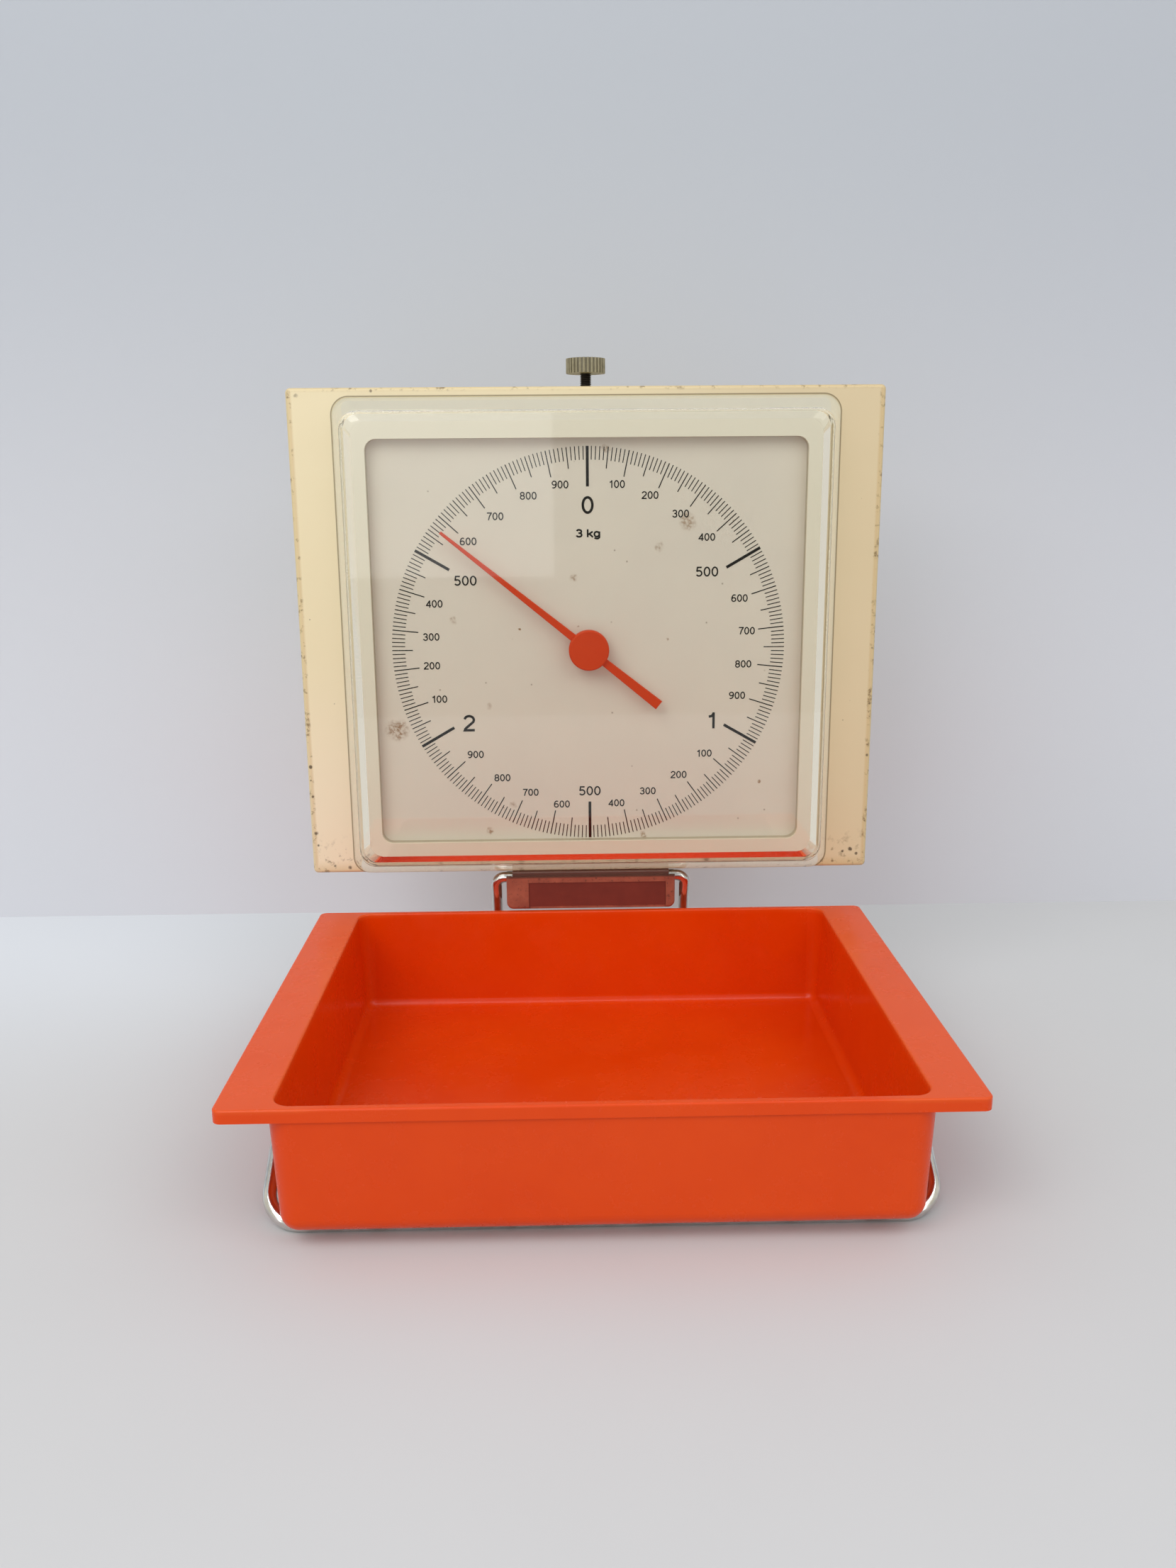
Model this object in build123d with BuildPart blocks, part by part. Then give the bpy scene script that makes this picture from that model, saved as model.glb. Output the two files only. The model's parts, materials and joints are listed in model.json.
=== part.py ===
from build123d import *
from math import acos, cos, pi, radians, sin, sqrt, tan
import os

os.makedirs("parts", exist_ok=True)

# Kitchen scale with a round dial. A housing rides on a sprung carriage, which carries a wire
# frame and a tray. The carriage's rack turns the pointer's pinion. The wire frame folds up, so
# that the tray closes over the dial when the scale hangs on a wall.
#
# Millimetres. +X is to the right, -Y to the front and +Z up. The origin lies on the table, in
# the middle of the outline that the whole scale covers.

# ---------------------------------------------------------------- clearances
slip = 0.3          # between pieces that rest on or pass each other
run = 0.05          # radial, a shaft or pin that turns or slides in its bore
seat = 0.02         # radial, a pin that stays in its hole

# ---------------------------------------------------------------- wire frame
wire_d = 4.0
leg_x = 35.0        # middle of each upright leg
pin_grip = 18.0     # length of each wire end inside the knuckle
arch_bend_r = 3.2
side_run_x = 91.5   # middle of the wire beside the tray
run_slope = 33.0    # degrees that the side runs climb from the table
foot_back = 17.0    # rear foot, behind the housing's face
front_run_in = 11.8 # front foot, behind the tray's front edge
corner_bend_r = 10.0
side_bend_r = 8.0

# ---------------------------------------------------------------- tray
tray_w = 200.0
tray_d = 152.0
tray_h = 37.6
tray_open_w = 170.4
tray_open_d = 147.0
tray_wall = 2.0
tray_floor = 2.2
rim_t = 3.7         # height of the rim's edge
rim_plate_t = 2.2
rim_corner_r = 2.5
tray_corner_r = 7.0
tray_draft = 2.5    # degrees
tray_bottom_r = 5.0

# ---------------------------------------------------------------- housing
housing_w = 204.0
housing_h = 171.0
housing_d = 38.0
housing_wall = 2.2
face_wall = 2.5
housing_corner_r = 1.6
face_edge_r = 1.2
rim_gap = 0.8       # tray's rear edge to the housing's face, seen from above

window_side = 25.9  # window's side edges inside the housing's sides
window_w = housing_w - 2 * window_side
window_h = 143.0
window_corner_r = 4.0
window_up = 1.2     # window's middle above the dial's middle
dial_up = 81.5      # dial's middle above the housing's underside

cover_w = 173.5
cover_h = 168.0
cover_rise = 9.5
cover_wall = 2.0
cover_side_lean = 3.75
cover_end_lean = 5.2
cover_corner_r = 6.0
cover_edge_r = 1.4
cover_bevel_w = 2.5     # bevel inside the cover's front edges
cover_bevel_in = 1.8

back_t = 2.5
back_inset = 2.0    # back plate inside the housing's rear edge
back_fit = 0.2
keyhole_spacing = 120.0
keyhole_up = 140.0
keyhole_head_r = 4.5
keyhole_slot_w = 4.6
keyhole_slot_l = 9.0

post_r = 4.0
chassis_post_in = 14.0      # posts inside the housing's sides
chassis_post_x = housing_w / 2 - chassis_post_in
chassis_post_z = 22.0
corner_post_in = 6.2

# ---------------------------------------------------------------- dial and pointer
dial_at = 4.0       # depths are measured behind the housing's face
dial_t = 1.0
dial_screw_out = 2.2
dial_margin = 3.0

hub_r = 7.15
hub_t = 3.0
hub_at = -2.6
hub_edge_r = 0.6
needle_t = 1.4
needle_l = 65.8
needle_root_w = 2.9
needle_tip_w = 1.0
tail_l = 32.0
tail_root_w = 2.5
tail_end_w = 3.6
arm_edge_r = 0.3
boss_r = 3.0

shaft_d = 2.5
bush_r = 3.0
bush_flange_r = 4.0
bush_flange_t = 0.8

# ---------------------------------------------------------------- rack and pinion
gear_module = 0.5
pinion_teeth = 12
pressure_angle = 20.0
backlash = 0.06
pinion_addendum = 0.45
rack_addendum = 0.33
dedendum = 0.6
gear_w = 4.0
gear_at = 8.9
rack_back_w = 8.0
rack_end = 4.0

# ---------------------------------------------------------------- carriage and its guides
full_turn_travel = pi * gear_module * pinion_teeth
zero_travel = 2.68  # travel from the upper stop to the empty scale's zero
travel = full_turn_travel + zero_travel

carriage_at = 6.5
carriage_t = 2.0
stem_w = 40.0
stem_slot_gap = 1.0
carriage_window_l = -8.0
carriage_window_r = 4.5
wing_w = 90.0
wing_h = 10.0
ear_reach = 15.5
ear_w = 14.0
ear_t = 2.0
lower_ear_up = 35.1
upper_ear_up = 103.1
top_bar_h = 8.0

rod_d = 5.0
rod_x = 38.0
rod_at = 17.0
guide_bush_r = 4.2
guide_bush_l = 9.0
guide_flange_r = 5.5
guide_flange_t = 1.5
buffer_r = 4.5
buffer_t = 3.0
clip_r = 4.5
clip_t = 0.8

# ---------------------------------------------------------------- chassis
chassis_at = 28.5
chassis_t = 1.5
chassis_strip_w = 92.0
chassis_arm_in = 7.0        # arm's ends inside the housing's sides
chassis_arm_w = housing_w - 2 * chassis_arm_in
chassis_arm_h = 60.0
chassis_low = 7.1   # lower tab above the housing's underside
chassis_high = 159.1
tab_reach = 19.0
opening_corner_r = 4.0
arm_opening_w = 24.0
arm_opening_in = 10.0       # from the arm's long edges
strip_opening_h = 28.0
strip_opening_in = 20.0     # from the strip's sides
strip_opening_from = 26.0   # opening's middle from each tab

# ---------------------------------------------------------------- zero adjustment and spring
screw_d = 4.0
screw_at = 20.0
knob_r = 6.9
knob_h = 5.0
knob_lift = 5.6     # knob above the housing's top
knob_ribs = 30
knob_rib_r = 0.45
journal_d = 3.0
hanger_w = 26.0
hanger_depth = 6.0
hanger_t = 2.0
hanger_h = 16.0
hanger_below = 7.6  # hanger's top below the upper tab
bar_depth = 4.0

spring_d = 14.0     # mean diameter
spring_wire = 1.3
spring_pitch = 2.0
eye_slack = 0.1     # between the eyes and the bars they hang on

# ---------------------------------------------------------------- knuckle and label block
knuckle_w = 57.8
knuckle_top_wall = 0.65
knuckle_front = 1.0 # before the housing's face
knuckle_h = 12.5
block_w = 62.2
block_front = 2.6
block_back = 5.5
block_low = 0.7     # above the tray's rim
block_h = 12.4
block_wall = 1.5
block_corner_r = 2.5
block_edge_r = 1.1
label_left = 22.9
label_right = 27.7
label_top = 2.2
label_depth = 0.6
label_fit = 0.1

# ---------------------------------------------------------------- fastener sizes
small_screw_r = 1.0
small_head_r = 2.2
screw_r = 1.5
head_r = 2.9
head_h = 2.0
screw_bite = 10.0   # thread beyond the plate that the screw holds
knuckle_screw_bite = 5.0
small_screw_bite = 2.0
pilot_depth = 12.0
slot_w = 0.8
slot_depth = 0.9

# ---------------------------------------------------------------- where things stand
pivot_rise = 12.0   # fold axis above the tray's rim
pivot_back = 1.7    # fold axis behind the housing's face

tray_z = wire_d + slip
rim_z = tray_z + tray_h
pivot_z = rim_z + pivot_rise
housing_z = pivot_z + wire_d / 2 + run + knuckle_top_wall + slip
housing_top = housing_z + housing_h
dial_z = housing_z + dial_up
window_z = dial_z + window_up

back_y = (tray_d + rim_gap + housing_d) / 2
face_y = back_y - housing_d
pivot_y = face_y + pivot_back
rim_back_y = face_y - rim_gap
rim_front_y = rim_back_y - tray_d
tray_y = (rim_back_y + rim_front_y) / 2
back_at = housing_d - back_inset - back_t
shaft_back = chassis_at + chassis_t + 2.5
rest_angle = 360 * zero_travel / full_turn_travel

chassis_points = [(x, dial_z + z) for x in (-chassis_post_x, chassis_post_x)
                  for z in (-chassis_post_z, chassis_post_z)]
corner_points = [(x, z) for x in (corner_post_in - housing_w / 2, housing_w / 2 - corner_post_in)
                 for z in (housing_z + corner_post_in, housing_top - corner_post_in)]
dial_points = [(x, window_z + z)
               for x in (-window_w / 2 - dial_screw_out, window_w / 2 + dial_screw_out)
               for z in (-window_h / 2 - dial_screw_out, window_h / 2 + dial_screw_out)]


def facing(depth):
    """A plane facing the front, this deep behind the housing's face: extrude(-t) goes back."""
    return Plane.XZ.offset(-face_y - depth)


def level(z):
    """A level plane through the middle of the mechanism."""
    return Plane((0, 0, z))


def keep(piece, name):
    piece.part.label = name
    export_step(piece.part, f"parts/{name}.step")


# ================================================================ housing
with BuildPart() as housing:
    with BuildSketch(facing(0)):
        with Locations((0, housing_z + housing_h / 2)):
            Rectangle(housing_w, housing_h)
    extrude(amount=-housing_d)
    fillet(housing.edges().filter_by(Axis.Y), housing_corner_r)
    fillet(housing.faces().sort_by(Axis.Y)[0].edges(), face_edge_r)
    # Hollow, open at the back
    with BuildSketch(facing(face_wall)):
        with Locations((0, housing_z + housing_h / 2)):
            Rectangle(housing_w - 2 * housing_wall, housing_h - 2 * housing_wall)
    extrude(amount=face_wall - housing_d, mode=Mode.SUBTRACT)
    # Ledge behind the window, which the dial plate lies on, with its screw bosses
    with BuildSketch(facing(face_wall)):
        with Locations((0, window_z)):
            RectangleRounded(window_w + 2 * dial_screw_out, window_h + 2 * dial_screw_out,
                             window_corner_r + dial_screw_out)
        with Locations(*dial_points):
            Circle(dial_margin)
    extrude(amount=face_wall - dial_at)
    with BuildSketch(facing(0)):
        with Locations((0, window_z)):
            RectangleRounded(window_w, window_h, window_corner_r)
    extrude(amount=-dial_at, mode=Mode.SUBTRACT)
    # Posts for the chassis and for the back
    with BuildSketch(facing(face_wall)):
        with Locations(*chassis_points):
            Circle(post_r)
    extrude(amount=face_wall - chassis_at)
    with BuildSketch(facing(face_wall)):
        with Locations(*corner_points):
            Circle(post_r)
            Rectangle(2 * post_r, 2 * post_r)
    extrude(amount=face_wall - back_at)
    # Pilot holes
    with BuildSketch(facing(dial_at)):
        with Locations(*dial_points):
            Circle(small_screw_r + seat)
    extrude(amount=dial_at - face_wall / 3, mode=Mode.SUBTRACT)
    with BuildSketch(facing(chassis_at)):
        with Locations(*chassis_points):
            Circle(screw_r + seat)
    extrude(amount=pilot_depth, mode=Mode.SUBTRACT)
    with BuildSketch(facing(back_at)):
        with Locations(*corner_points):
            Circle(screw_r + seat)
    extrude(amount=pilot_depth, mode=Mode.SUBTRACT)
    # Slot in the underside for the carriage, hole in the top for the zero screw
    with BuildSketch(level(housing_z)):
        with Locations((0, face_y + carriage_at + carriage_t / 2)):
            Rectangle(stem_w + 2 * stem_slot_gap, carriage_t + 2 * stem_slot_gap)
    extrude(amount=housing_wall, mode=Mode.SUBTRACT)
    with BuildSketch(level(housing_top)):
        with Locations((0, face_y + screw_at)):
            Circle(screw_d / 2 + slip)
    extrude(amount=-housing_wall, mode=Mode.SUBTRACT)
keep(housing, "housing")

# ================================================================ back cover
with BuildPart() as back_cover:
    with BuildSketch(facing(back_at)):
        with Locations((0, housing_z + housing_h / 2)):
            Rectangle(housing_w - 2 * housing_wall - 2 * back_fit,
                      housing_h - 2 * housing_wall - 2 * back_fit)
        with Locations(*corner_points):
            Circle(screw_r + slip, mode=Mode.SUBTRACT)
        # Keyholes: a screw's head goes in at the round end, and its neck up the slot
        with Locations(*[(x, housing_z + keyhole_up)
                         for x in (-keyhole_spacing / 2, keyhole_spacing / 2)]):
            Circle(keyhole_head_r, mode=Mode.SUBTRACT)
        with Locations(*[(x, housing_z + keyhole_up + keyhole_slot_l / 2)
                         for x in (-keyhole_spacing / 2, keyhole_spacing / 2)]):
            SlotOverall(keyhole_slot_l + keyhole_slot_w, keyhole_slot_w, rotation=90,
                        mode=Mode.SUBTRACT)
    extrude(amount=-back_t)
keep(back_cover, "back_cover")


def screw_group(points, depth, shank, length, head, name):
    """Slotted pan-head screws whose heads stand behind the depth given."""
    with BuildPart() as group:
        with BuildSketch(facing(depth)):
            with Locations(*points):
                Circle(shank)
        extrude(amount=length)
        with BuildSketch(facing(depth)):
            with Locations(*points):
                Circle(head)
        extrude(amount=-head_h)
        chamfer(group.faces().sort_by(Axis.Y)[-len(points):].edges(), head_h / 4)
        with BuildSketch(facing(depth + head_h)):
            with Locations(*points):
                Rectangle(2 * head, slot_w)
        extrude(amount=slot_depth, mode=Mode.SUBTRACT)
    keep(group, name)
    return group


back_screws = screw_group(corner_points, back_at + back_t, screw_r, back_t + screw_bite,
                          head_r, "back_screws")

# ================================================================ clear cover
bevel_rise = cover_rise - cover_wall - cover_bevel_in
bevel_share = bevel_rise / (cover_rise - cover_wall)
base_size = (cover_w - 2 * cover_wall, cover_h - 2 * cover_wall)
bevel_size = (base_size[0] - 2 * cover_side_lean * bevel_share,
              base_size[1] - 2 * cover_end_lean * bevel_share)
front_size = (bevel_size[0] - 2 * cover_bevel_w, bevel_size[1] - 2 * cover_bevel_w)

with BuildPart() as cover_hollow:
    for sections in (((0, base_size), (bevel_rise, bevel_size)),
                     ((bevel_rise, bevel_size), (cover_rise - cover_wall, front_size))):
        for rise, size in sections:
            with BuildSketch(facing(-rise)):
                with Locations((0, housing_z + cover_h / 2)):
                    RectangleRounded(*size, cover_corner_r - cover_wall / 2)
        loft()

with BuildPart() as clear_cover:
    with BuildSketch(facing(0)):
        with Locations((0, housing_z + cover_h / 2)):
            RectangleRounded(cover_w, cover_h, cover_corner_r)
    with BuildSketch(facing(-cover_rise)):
        with Locations((0, housing_z + cover_h / 2)):
            RectangleRounded(cover_w - 2 * cover_side_lean, cover_h - 2 * cover_end_lean,
                             cover_corner_r)
    loft()
    fillet(clear_cover.faces().sort_by(Axis.Y)[0].edges(), cover_edge_r)
    add(cover_hollow.part, mode=Mode.SUBTRACT)
keep(clear_cover, "clear_cover")

# ================================================================ dial
with BuildPart() as dial_plate:
    with BuildSketch(facing(dial_at)):
        with Locations((0, window_z)):
            RectangleRounded(window_w + 2 * dial_screw_out + 2 * dial_margin,
                             window_h + 2 * dial_screw_out + 2 * dial_margin, dial_margin)
        with Locations((0, dial_z)):
            Circle(bush_r + seat, mode=Mode.SUBTRACT)
        with Locations(*dial_points):
            Circle(small_screw_r + seat, mode=Mode.SUBTRACT)
    extrude(amount=-dial_t)
keep(dial_plate, "dial_plate")

dial_screws = screw_group(dial_points, dial_at + dial_t, small_screw_r,
                          dial_t + small_screw_bite, small_head_r, "dial_screws")


def bush(flange_depth, body_from, body_to, name):
    """A flanged bearing bush for the pointer's shaft."""
    with BuildPart() as piece:
        with BuildSketch(facing(body_from)):
            with Locations((0, dial_z)):
                Circle(bush_r)
        extrude(amount=body_from - body_to)
        with BuildSketch(facing(flange_depth)):
            with Locations((0, dial_z)):
                Circle(bush_flange_r)
        extrude(amount=-bush_flange_t)
        with BuildSketch(facing(body_from)):
            with Locations((0, dial_z)):
                Circle(shaft_d / 2 + run)
        extrude(amount=body_from - body_to, mode=Mode.SUBTRACT)
    keep(piece, name)
    return piece


front_bush = bush(dial_at + dial_t, dial_at, gear_at - slip, "front_bush")
rear_bush = bush(chassis_at - bush_flange_t, chassis_at - 2, chassis_at + chassis_t + 0.5,
                 "rear_bush")

# ================================================================ pointer, shaft and pinion
def pointer_plane(depth):
    """A plane facing the front on the pointer's axis, with its Y along the resting needle."""
    return Plane((0, face_y + depth, dial_z),
                 x_dir=(cos(radians(rest_angle)), 0, sin(radians(rest_angle))),
                 z_dir=(0, -1, 0))


with BuildPart() as pointer:
    with BuildSketch(pointer_plane(hub_at + hub_t)):
        with BuildLine():
            Polyline((-needle_root_w / 2, 0), (-needle_tip_w / 2, needle_l),
                     (needle_tip_w / 2, needle_l), (needle_root_w / 2, 0),
                     (tail_root_w / 2, 0), (tail_end_w / 2, -tail_l), (-tail_end_w / 2, -tail_l),
                     (-tail_root_w / 2, 0), close=True)
        make_face()
    extrude(amount=needle_t)
    fillet(pointer.faces().sort_by(Axis.Y)[0].edges(), arm_edge_r)
    with BuildSketch(pointer_plane(hub_at)):
        Circle(hub_r)
    extrude(amount=-hub_t)
    fillet(pointer.faces().sort_by(Axis.Y)[0].edges(), hub_edge_r)
    with BuildSketch(pointer_plane(hub_at + hub_t)):
        Circle(boss_r)
    extrude(amount=hub_at + hub_t - dial_at + 2 * slip)
    with BuildSketch(pointer_plane(dial_at)):
        Circle(shaft_d / 2 + seat)
    extrude(amount=dial_at - hub_at - 1, mode=Mode.SUBTRACT)
keep(pointer, "pointer")

shaft_front = hub_at + 1 + slip
with BuildPart() as pointer_shaft:
    with BuildSketch(facing(shaft_front)):
        with Locations((0, dial_z)):
            Circle(shaft_d / 2)
    extrude(amount=shaft_front - shaft_back)
    chamfer(pointer_shaft.faces().filter_by(Axis.Y).edges(), 0.3)
keep(pointer_shaft, "pointer_shaft")

with BuildPart() as shaft_clip:
    with BuildSketch(facing(chassis_at + chassis_t + 1)):
        with Locations((0, dial_z)):
            Circle(2 * shaft_d / 2)
            Circle(shaft_d / 2 + seat, mode=Mode.SUBTRACT)
    extrude(amount=-clip_t)
keep(shaft_clip, "shaft_clip")

pitch_r = gear_module * pinion_teeth / 2
base_r = pitch_r * cos(radians(pressure_angle))
root_r = pitch_r - dedendum
tip_r = pitch_r + pinion_addendum
tooth_pitch = pi * gear_module
tooth_t = tooth_pitch / 2 - backlash / 2


def involute_angle(radius):
    """Angle that an involute has turned through where it reaches this radius."""
    lean = acos(base_r / radius)
    return tan(lean) - lean


def flank_point(radius, side):
    """Point of the pinion's tooth flank, for a tooth that points along +X."""
    half = tooth_t / (2 * pitch_r) + involute_angle(pitch_r) - involute_angle(radius)
    return (radius * cos(side * half), radius * sin(side * half))


flank_radii = [base_r + (tip_r - base_r) * step / 4 for step in range(5)]
with BuildSketch() as pinion_tooth:
    with BuildLine():
        lower = Spline(*[flank_point(r, -1) for r in flank_radii])
        upper = Spline(*[flank_point(r, 1) for r in flank_radii])
        ThreePointArc(lower @ 1, (tip_r, 0), upper @ 1)
        Polyline(lower @ 0, ((lower @ 0).X * root_r / (2 * base_r), 0), upper @ 0)
    make_face()

with BuildPart() as pinion:
    with BuildSketch(Plane((0, face_y + gear_at, dial_z), x_dir=(1, 0, 0), z_dir=(0, -1, 0))):
        Circle(root_r)
        with PolarLocations(0, pinion_teeth):
            add(pinion_tooth.sketch)
        Circle(shaft_d / 2 + seat, mode=Mode.SUBTRACT)
    extrude(amount=-gear_w)
keep(pinion, "pinion")

# ================================================================ rack
rack_low = dial_z - rack_end
rack_high = dial_z + travel + rack_end
rack_root_x = pitch_r + dedendum
rack_lean = tan(radians(pressure_angle))
rack_tooth_count = int((rack_high - rack_low) / tooth_pitch) - 1
first_tooth = -int((dial_z - rack_low) / tooth_pitch - 0.5)
rack_rivets_at = [(rack_root_x + rack_back_w / 2 + 0.6, z) for z in (rack_low + 4, rack_high - 4)]

with BuildPart() as rack:
    with BuildSketch(facing(carriage_at + carriage_t)):
        with Locations((rack_root_x + rack_back_w / 2, (rack_low + rack_high) / 2)):
            Rectangle(rack_back_w, rack_high - rack_low)
        with Locations(*rack_rivets_at):
            Circle(small_screw_r + seat, mode=Mode.SUBTRACT)
    extrude(amount=-gear_w - gear_at + carriage_at + carriage_t)
    with BuildSketch(facing(gear_at)):
        for tooth in range(first_tooth, first_tooth + rack_tooth_count):
            middle = dial_z + (tooth + 0.5) * tooth_pitch
            root_half = tooth_t / 2 + dedendum * rack_lean
            tip_half = tooth_t / 2 - rack_addendum * rack_lean
            with BuildLine():
                Polyline((rack_root_x + 0.2, middle - root_half), (rack_root_x, middle - root_half),
                         (pitch_r - rack_addendum, middle - tip_half),
                         (pitch_r - rack_addendum, middle + tip_half),
                         (rack_root_x, middle + root_half),
                         (rack_root_x + 0.2, middle + root_half), close=True)
            make_face()
    extrude(amount=-gear_w)
keep(rack, "rack")

with BuildPart() as rack_rivets:
    with BuildSketch(facing(carriage_at)):
        with Locations(*rack_rivets_at):
            Circle(small_screw_r)
    extrude(amount=carriage_at - gear_at - gear_w)
    with BuildSketch(facing(gear_at + gear_w)):
        with Locations(*rack_rivets_at):
            Circle(1.8 * small_screw_r)
    extrude(amount=-clip_t)
keep(rack_rivets, "rack_rivets")

# ================================================================ carriage
stem_low = pivot_z - 9
ear_levels = [housing_z + lower_ear_up, housing_z + upper_ear_up]
window_low = dial_z - bush_r - 1.5
window_high = dial_z + travel + bush_r + 1.5
hook_z = window_high + top_bar_h / 2
stem_top = window_high + top_bar_h
knuckle_screw_points = [(x, pivot_z - 5.5) for x in (-knuckle_w / 4, knuckle_w / 4)]

with BuildPart() as carriage:
    with BuildSketch(facing(carriage_at)):
        with Locations((0, (stem_low + stem_top) / 2)):
            Rectangle(stem_w, stem_top - stem_low)
        with Locations(*[(0, z + wing_h / 2) for z in ear_levels]):
            Rectangle(wing_w, wing_h)
        with Locations(((carriage_window_l + carriage_window_r) / 2,
                        (window_low + window_high) / 2)):
            Rectangle(carriage_window_r - carriage_window_l, window_high - window_low,
                      mode=Mode.SUBTRACT)
        with Locations(*rack_rivets_at, *knuckle_screw_points):
            Circle(small_screw_r + seat, mode=Mode.SUBTRACT)
        with Locations(*knuckle_screw_points):
            Circle(screw_r + seat, mode=Mode.SUBTRACT)
    extrude(amount=-carriage_t)
    # Ears that the guide bushes sit in, bent back from the wings
    for z in ear_levels:
        with BuildSketch(level(z)):
            with Locations(*[(x, face_y + carriage_at + carriage_t + ear_reach / 2)
                             for x in (-rod_x, rod_x)]):
                Rectangle(ear_w, ear_reach)
            with Locations(*[(x, face_y + rod_at) for x in (-rod_x, rod_x)]):
                Circle(guide_bush_r + seat, mode=Mode.SUBTRACT)
        extrude(amount=ear_t)
    # Tab bent back from the top, with a bar left between two windows for the spring's eye
    with BuildSketch(level(hook_z)):
        with Locations((0, face_y + (carriage_at + carriage_t + screw_at + spring_d / 2) / 2)):
            Rectangle(hanger_w, screw_at + spring_d / 2 - carriage_at - carriage_t)
        for side in (-1, 1):
            with Locations((0, face_y + screw_at + side * (bar_depth + 8) / 2)):
                Rectangle(6, 8, mode=Mode.SUBTRACT)
    extrude(amount=hanger_t)
keep(carriage, "carriage")

with BuildPart() as guide_bushes:
    for z in ear_levels:
        for low, radius, length in ((z - guide_flange_t, guide_flange_r, guide_flange_t),
                                    (z, guide_bush_r, guide_bush_l - guide_flange_t)):
            with BuildSketch(level(low)):
                with Locations(*[(x, face_y + rod_at) for x in (-rod_x, rod_x)]):
                    Circle(radius)
                    Circle(rod_d / 2 + run, mode=Mode.SUBTRACT)
            extrude(amount=length)
keep(guide_bushes, "guide_bushes")

# ================================================================ chassis and guide rods
tab_low = housing_z + chassis_low
tab_high = housing_z + chassis_high
rod_points = [(x, face_y + rod_at) for x in (-rod_x, rod_x)]
tab_y = face_y + chassis_at - tab_reach / 2

with BuildPart() as chassis:
    with BuildSketch(facing(chassis_at)):
        with Locations((0, (tab_low + tab_high + chassis_t) / 2)):
            Rectangle(chassis_strip_w, tab_high + chassis_t - tab_low)
        with Locations((0, dial_z)):
            Rectangle(chassis_arm_w, chassis_arm_h)
        # Openings that lighten the plate
        with Locations(*[(x, dial_z) for x in (-chassis_post_x * 0.72, chassis_post_x * 0.72)]):
            RectangleRounded(arm_opening_w, chassis_arm_h - 2 * arm_opening_in,
                             opening_corner_r, mode=Mode.SUBTRACT)
        with Locations((0, tab_low + strip_opening_from), (0, tab_high - strip_opening_from)):
            RectangleRounded(chassis_strip_w - 2 * strip_opening_in, strip_opening_h,
                             opening_corner_r, mode=Mode.SUBTRACT)
        with Locations((0, dial_z)):
            Circle(bush_r + seat, mode=Mode.SUBTRACT)
        with Locations(*chassis_points):
            Circle(screw_r + seat, mode=Mode.SUBTRACT)
    extrude(amount=-chassis_t)
    for z in (tab_low, tab_high):
        with BuildSketch(level(z)):
            with Locations((0, tab_y)):
                Rectangle(chassis_strip_w, tab_reach)
            with Locations(*rod_points):
                Circle(rod_d / 2 + seat, mode=Mode.SUBTRACT)
        extrude(amount=chassis_t)
    with BuildSketch(level(tab_high)):
        with Locations((0, face_y + screw_at)):
            Circle(screw_d + seat)
    extrude(amount=chassis_t, mode=Mode.SUBTRACT)
keep(chassis, "chassis")

chassis_screws = screw_group(chassis_points, chassis_at + chassis_t, screw_r,
                             chassis_t + screw_bite, head_r, "chassis_screws")

with BuildPart() as guide_rods:
    with BuildSketch(level(tab_low - 2)):
        with Locations(*rod_points):
            Circle(rod_d / 2)
    extrude(amount=tab_high - tab_low + chassis_t + 4)
    chamfer(guide_rods.faces().filter_by(Axis.Z).edges(), 0.4)
keep(guide_rods, "guide_rods")


def rings_on_rods(levels, outer_r, thickness, name):
    with BuildPart() as rings:
        for z in levels:
            with BuildSketch(level(z)):
                with Locations(*rod_points):
                    Circle(outer_r)
                    Circle(rod_d / 2 + seat, mode=Mode.SUBTRACT)
            extrude(amount=thickness)
    keep(rings, name)
    return rings


rod_clips = rings_on_rods((tab_low - clip_t, tab_high + chassis_t), clip_r, clip_t, "rod_clips")
stop_buffers = rings_on_rods((tab_low + chassis_t,), buffer_r, buffer_t, "stop_buffers")

# ================================================================ zero adjustment
screw_y = face_y + screw_at
hanger_top = tab_high - hanger_below
hanger_bar_z = hanger_top - hanger_h
knob_z = housing_top + knob_lift

with BuildPart() as zero_nut:
    for low, radius, length in ((tab_high, screw_d, chassis_t),
                                (tab_high - 1.5, screw_d + 1.5, 1.5),
                                (tab_high + chassis_t, screw_d + 1.5, 1.5)):
        with BuildSketch(level(low)):
            with Locations((0, screw_y)):
                Circle(radius)
        extrude(amount=length)
    with BuildSketch(level(tab_high - 1.5)):
        with Locations((0, screw_y)):
            Circle(screw_d / 2 + run)
    extrude(amount=chassis_t + 3, mode=Mode.SUBTRACT)
keep(zero_nut, "zero_nut")

with BuildPart() as zero_screw:
    with BuildSketch(level(hanger_top)):
        with Locations((0, screw_y)):
            Circle(screw_d / 2)
    extrude(amount=knob_z + knob_h - 1.5 - hanger_top)
    with BuildSketch(level(hanger_top)):
        with Locations((0, screw_y)):
            Circle(journal_d / 2)
    extrude(amount=-hanger_t - 2.5)
keep(zero_screw, "zero_screw")

with BuildPart() as hanger_clip:
    with BuildSketch(level(hanger_top - hanger_t - clip_t - 0.2)):
        with Locations((0, screw_y)):
            Circle(journal_d)
            Circle(journal_d / 2 + seat, mode=Mode.SUBTRACT)
    extrude(amount=clip_t)
keep(hanger_clip, "hanger_clip")

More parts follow.
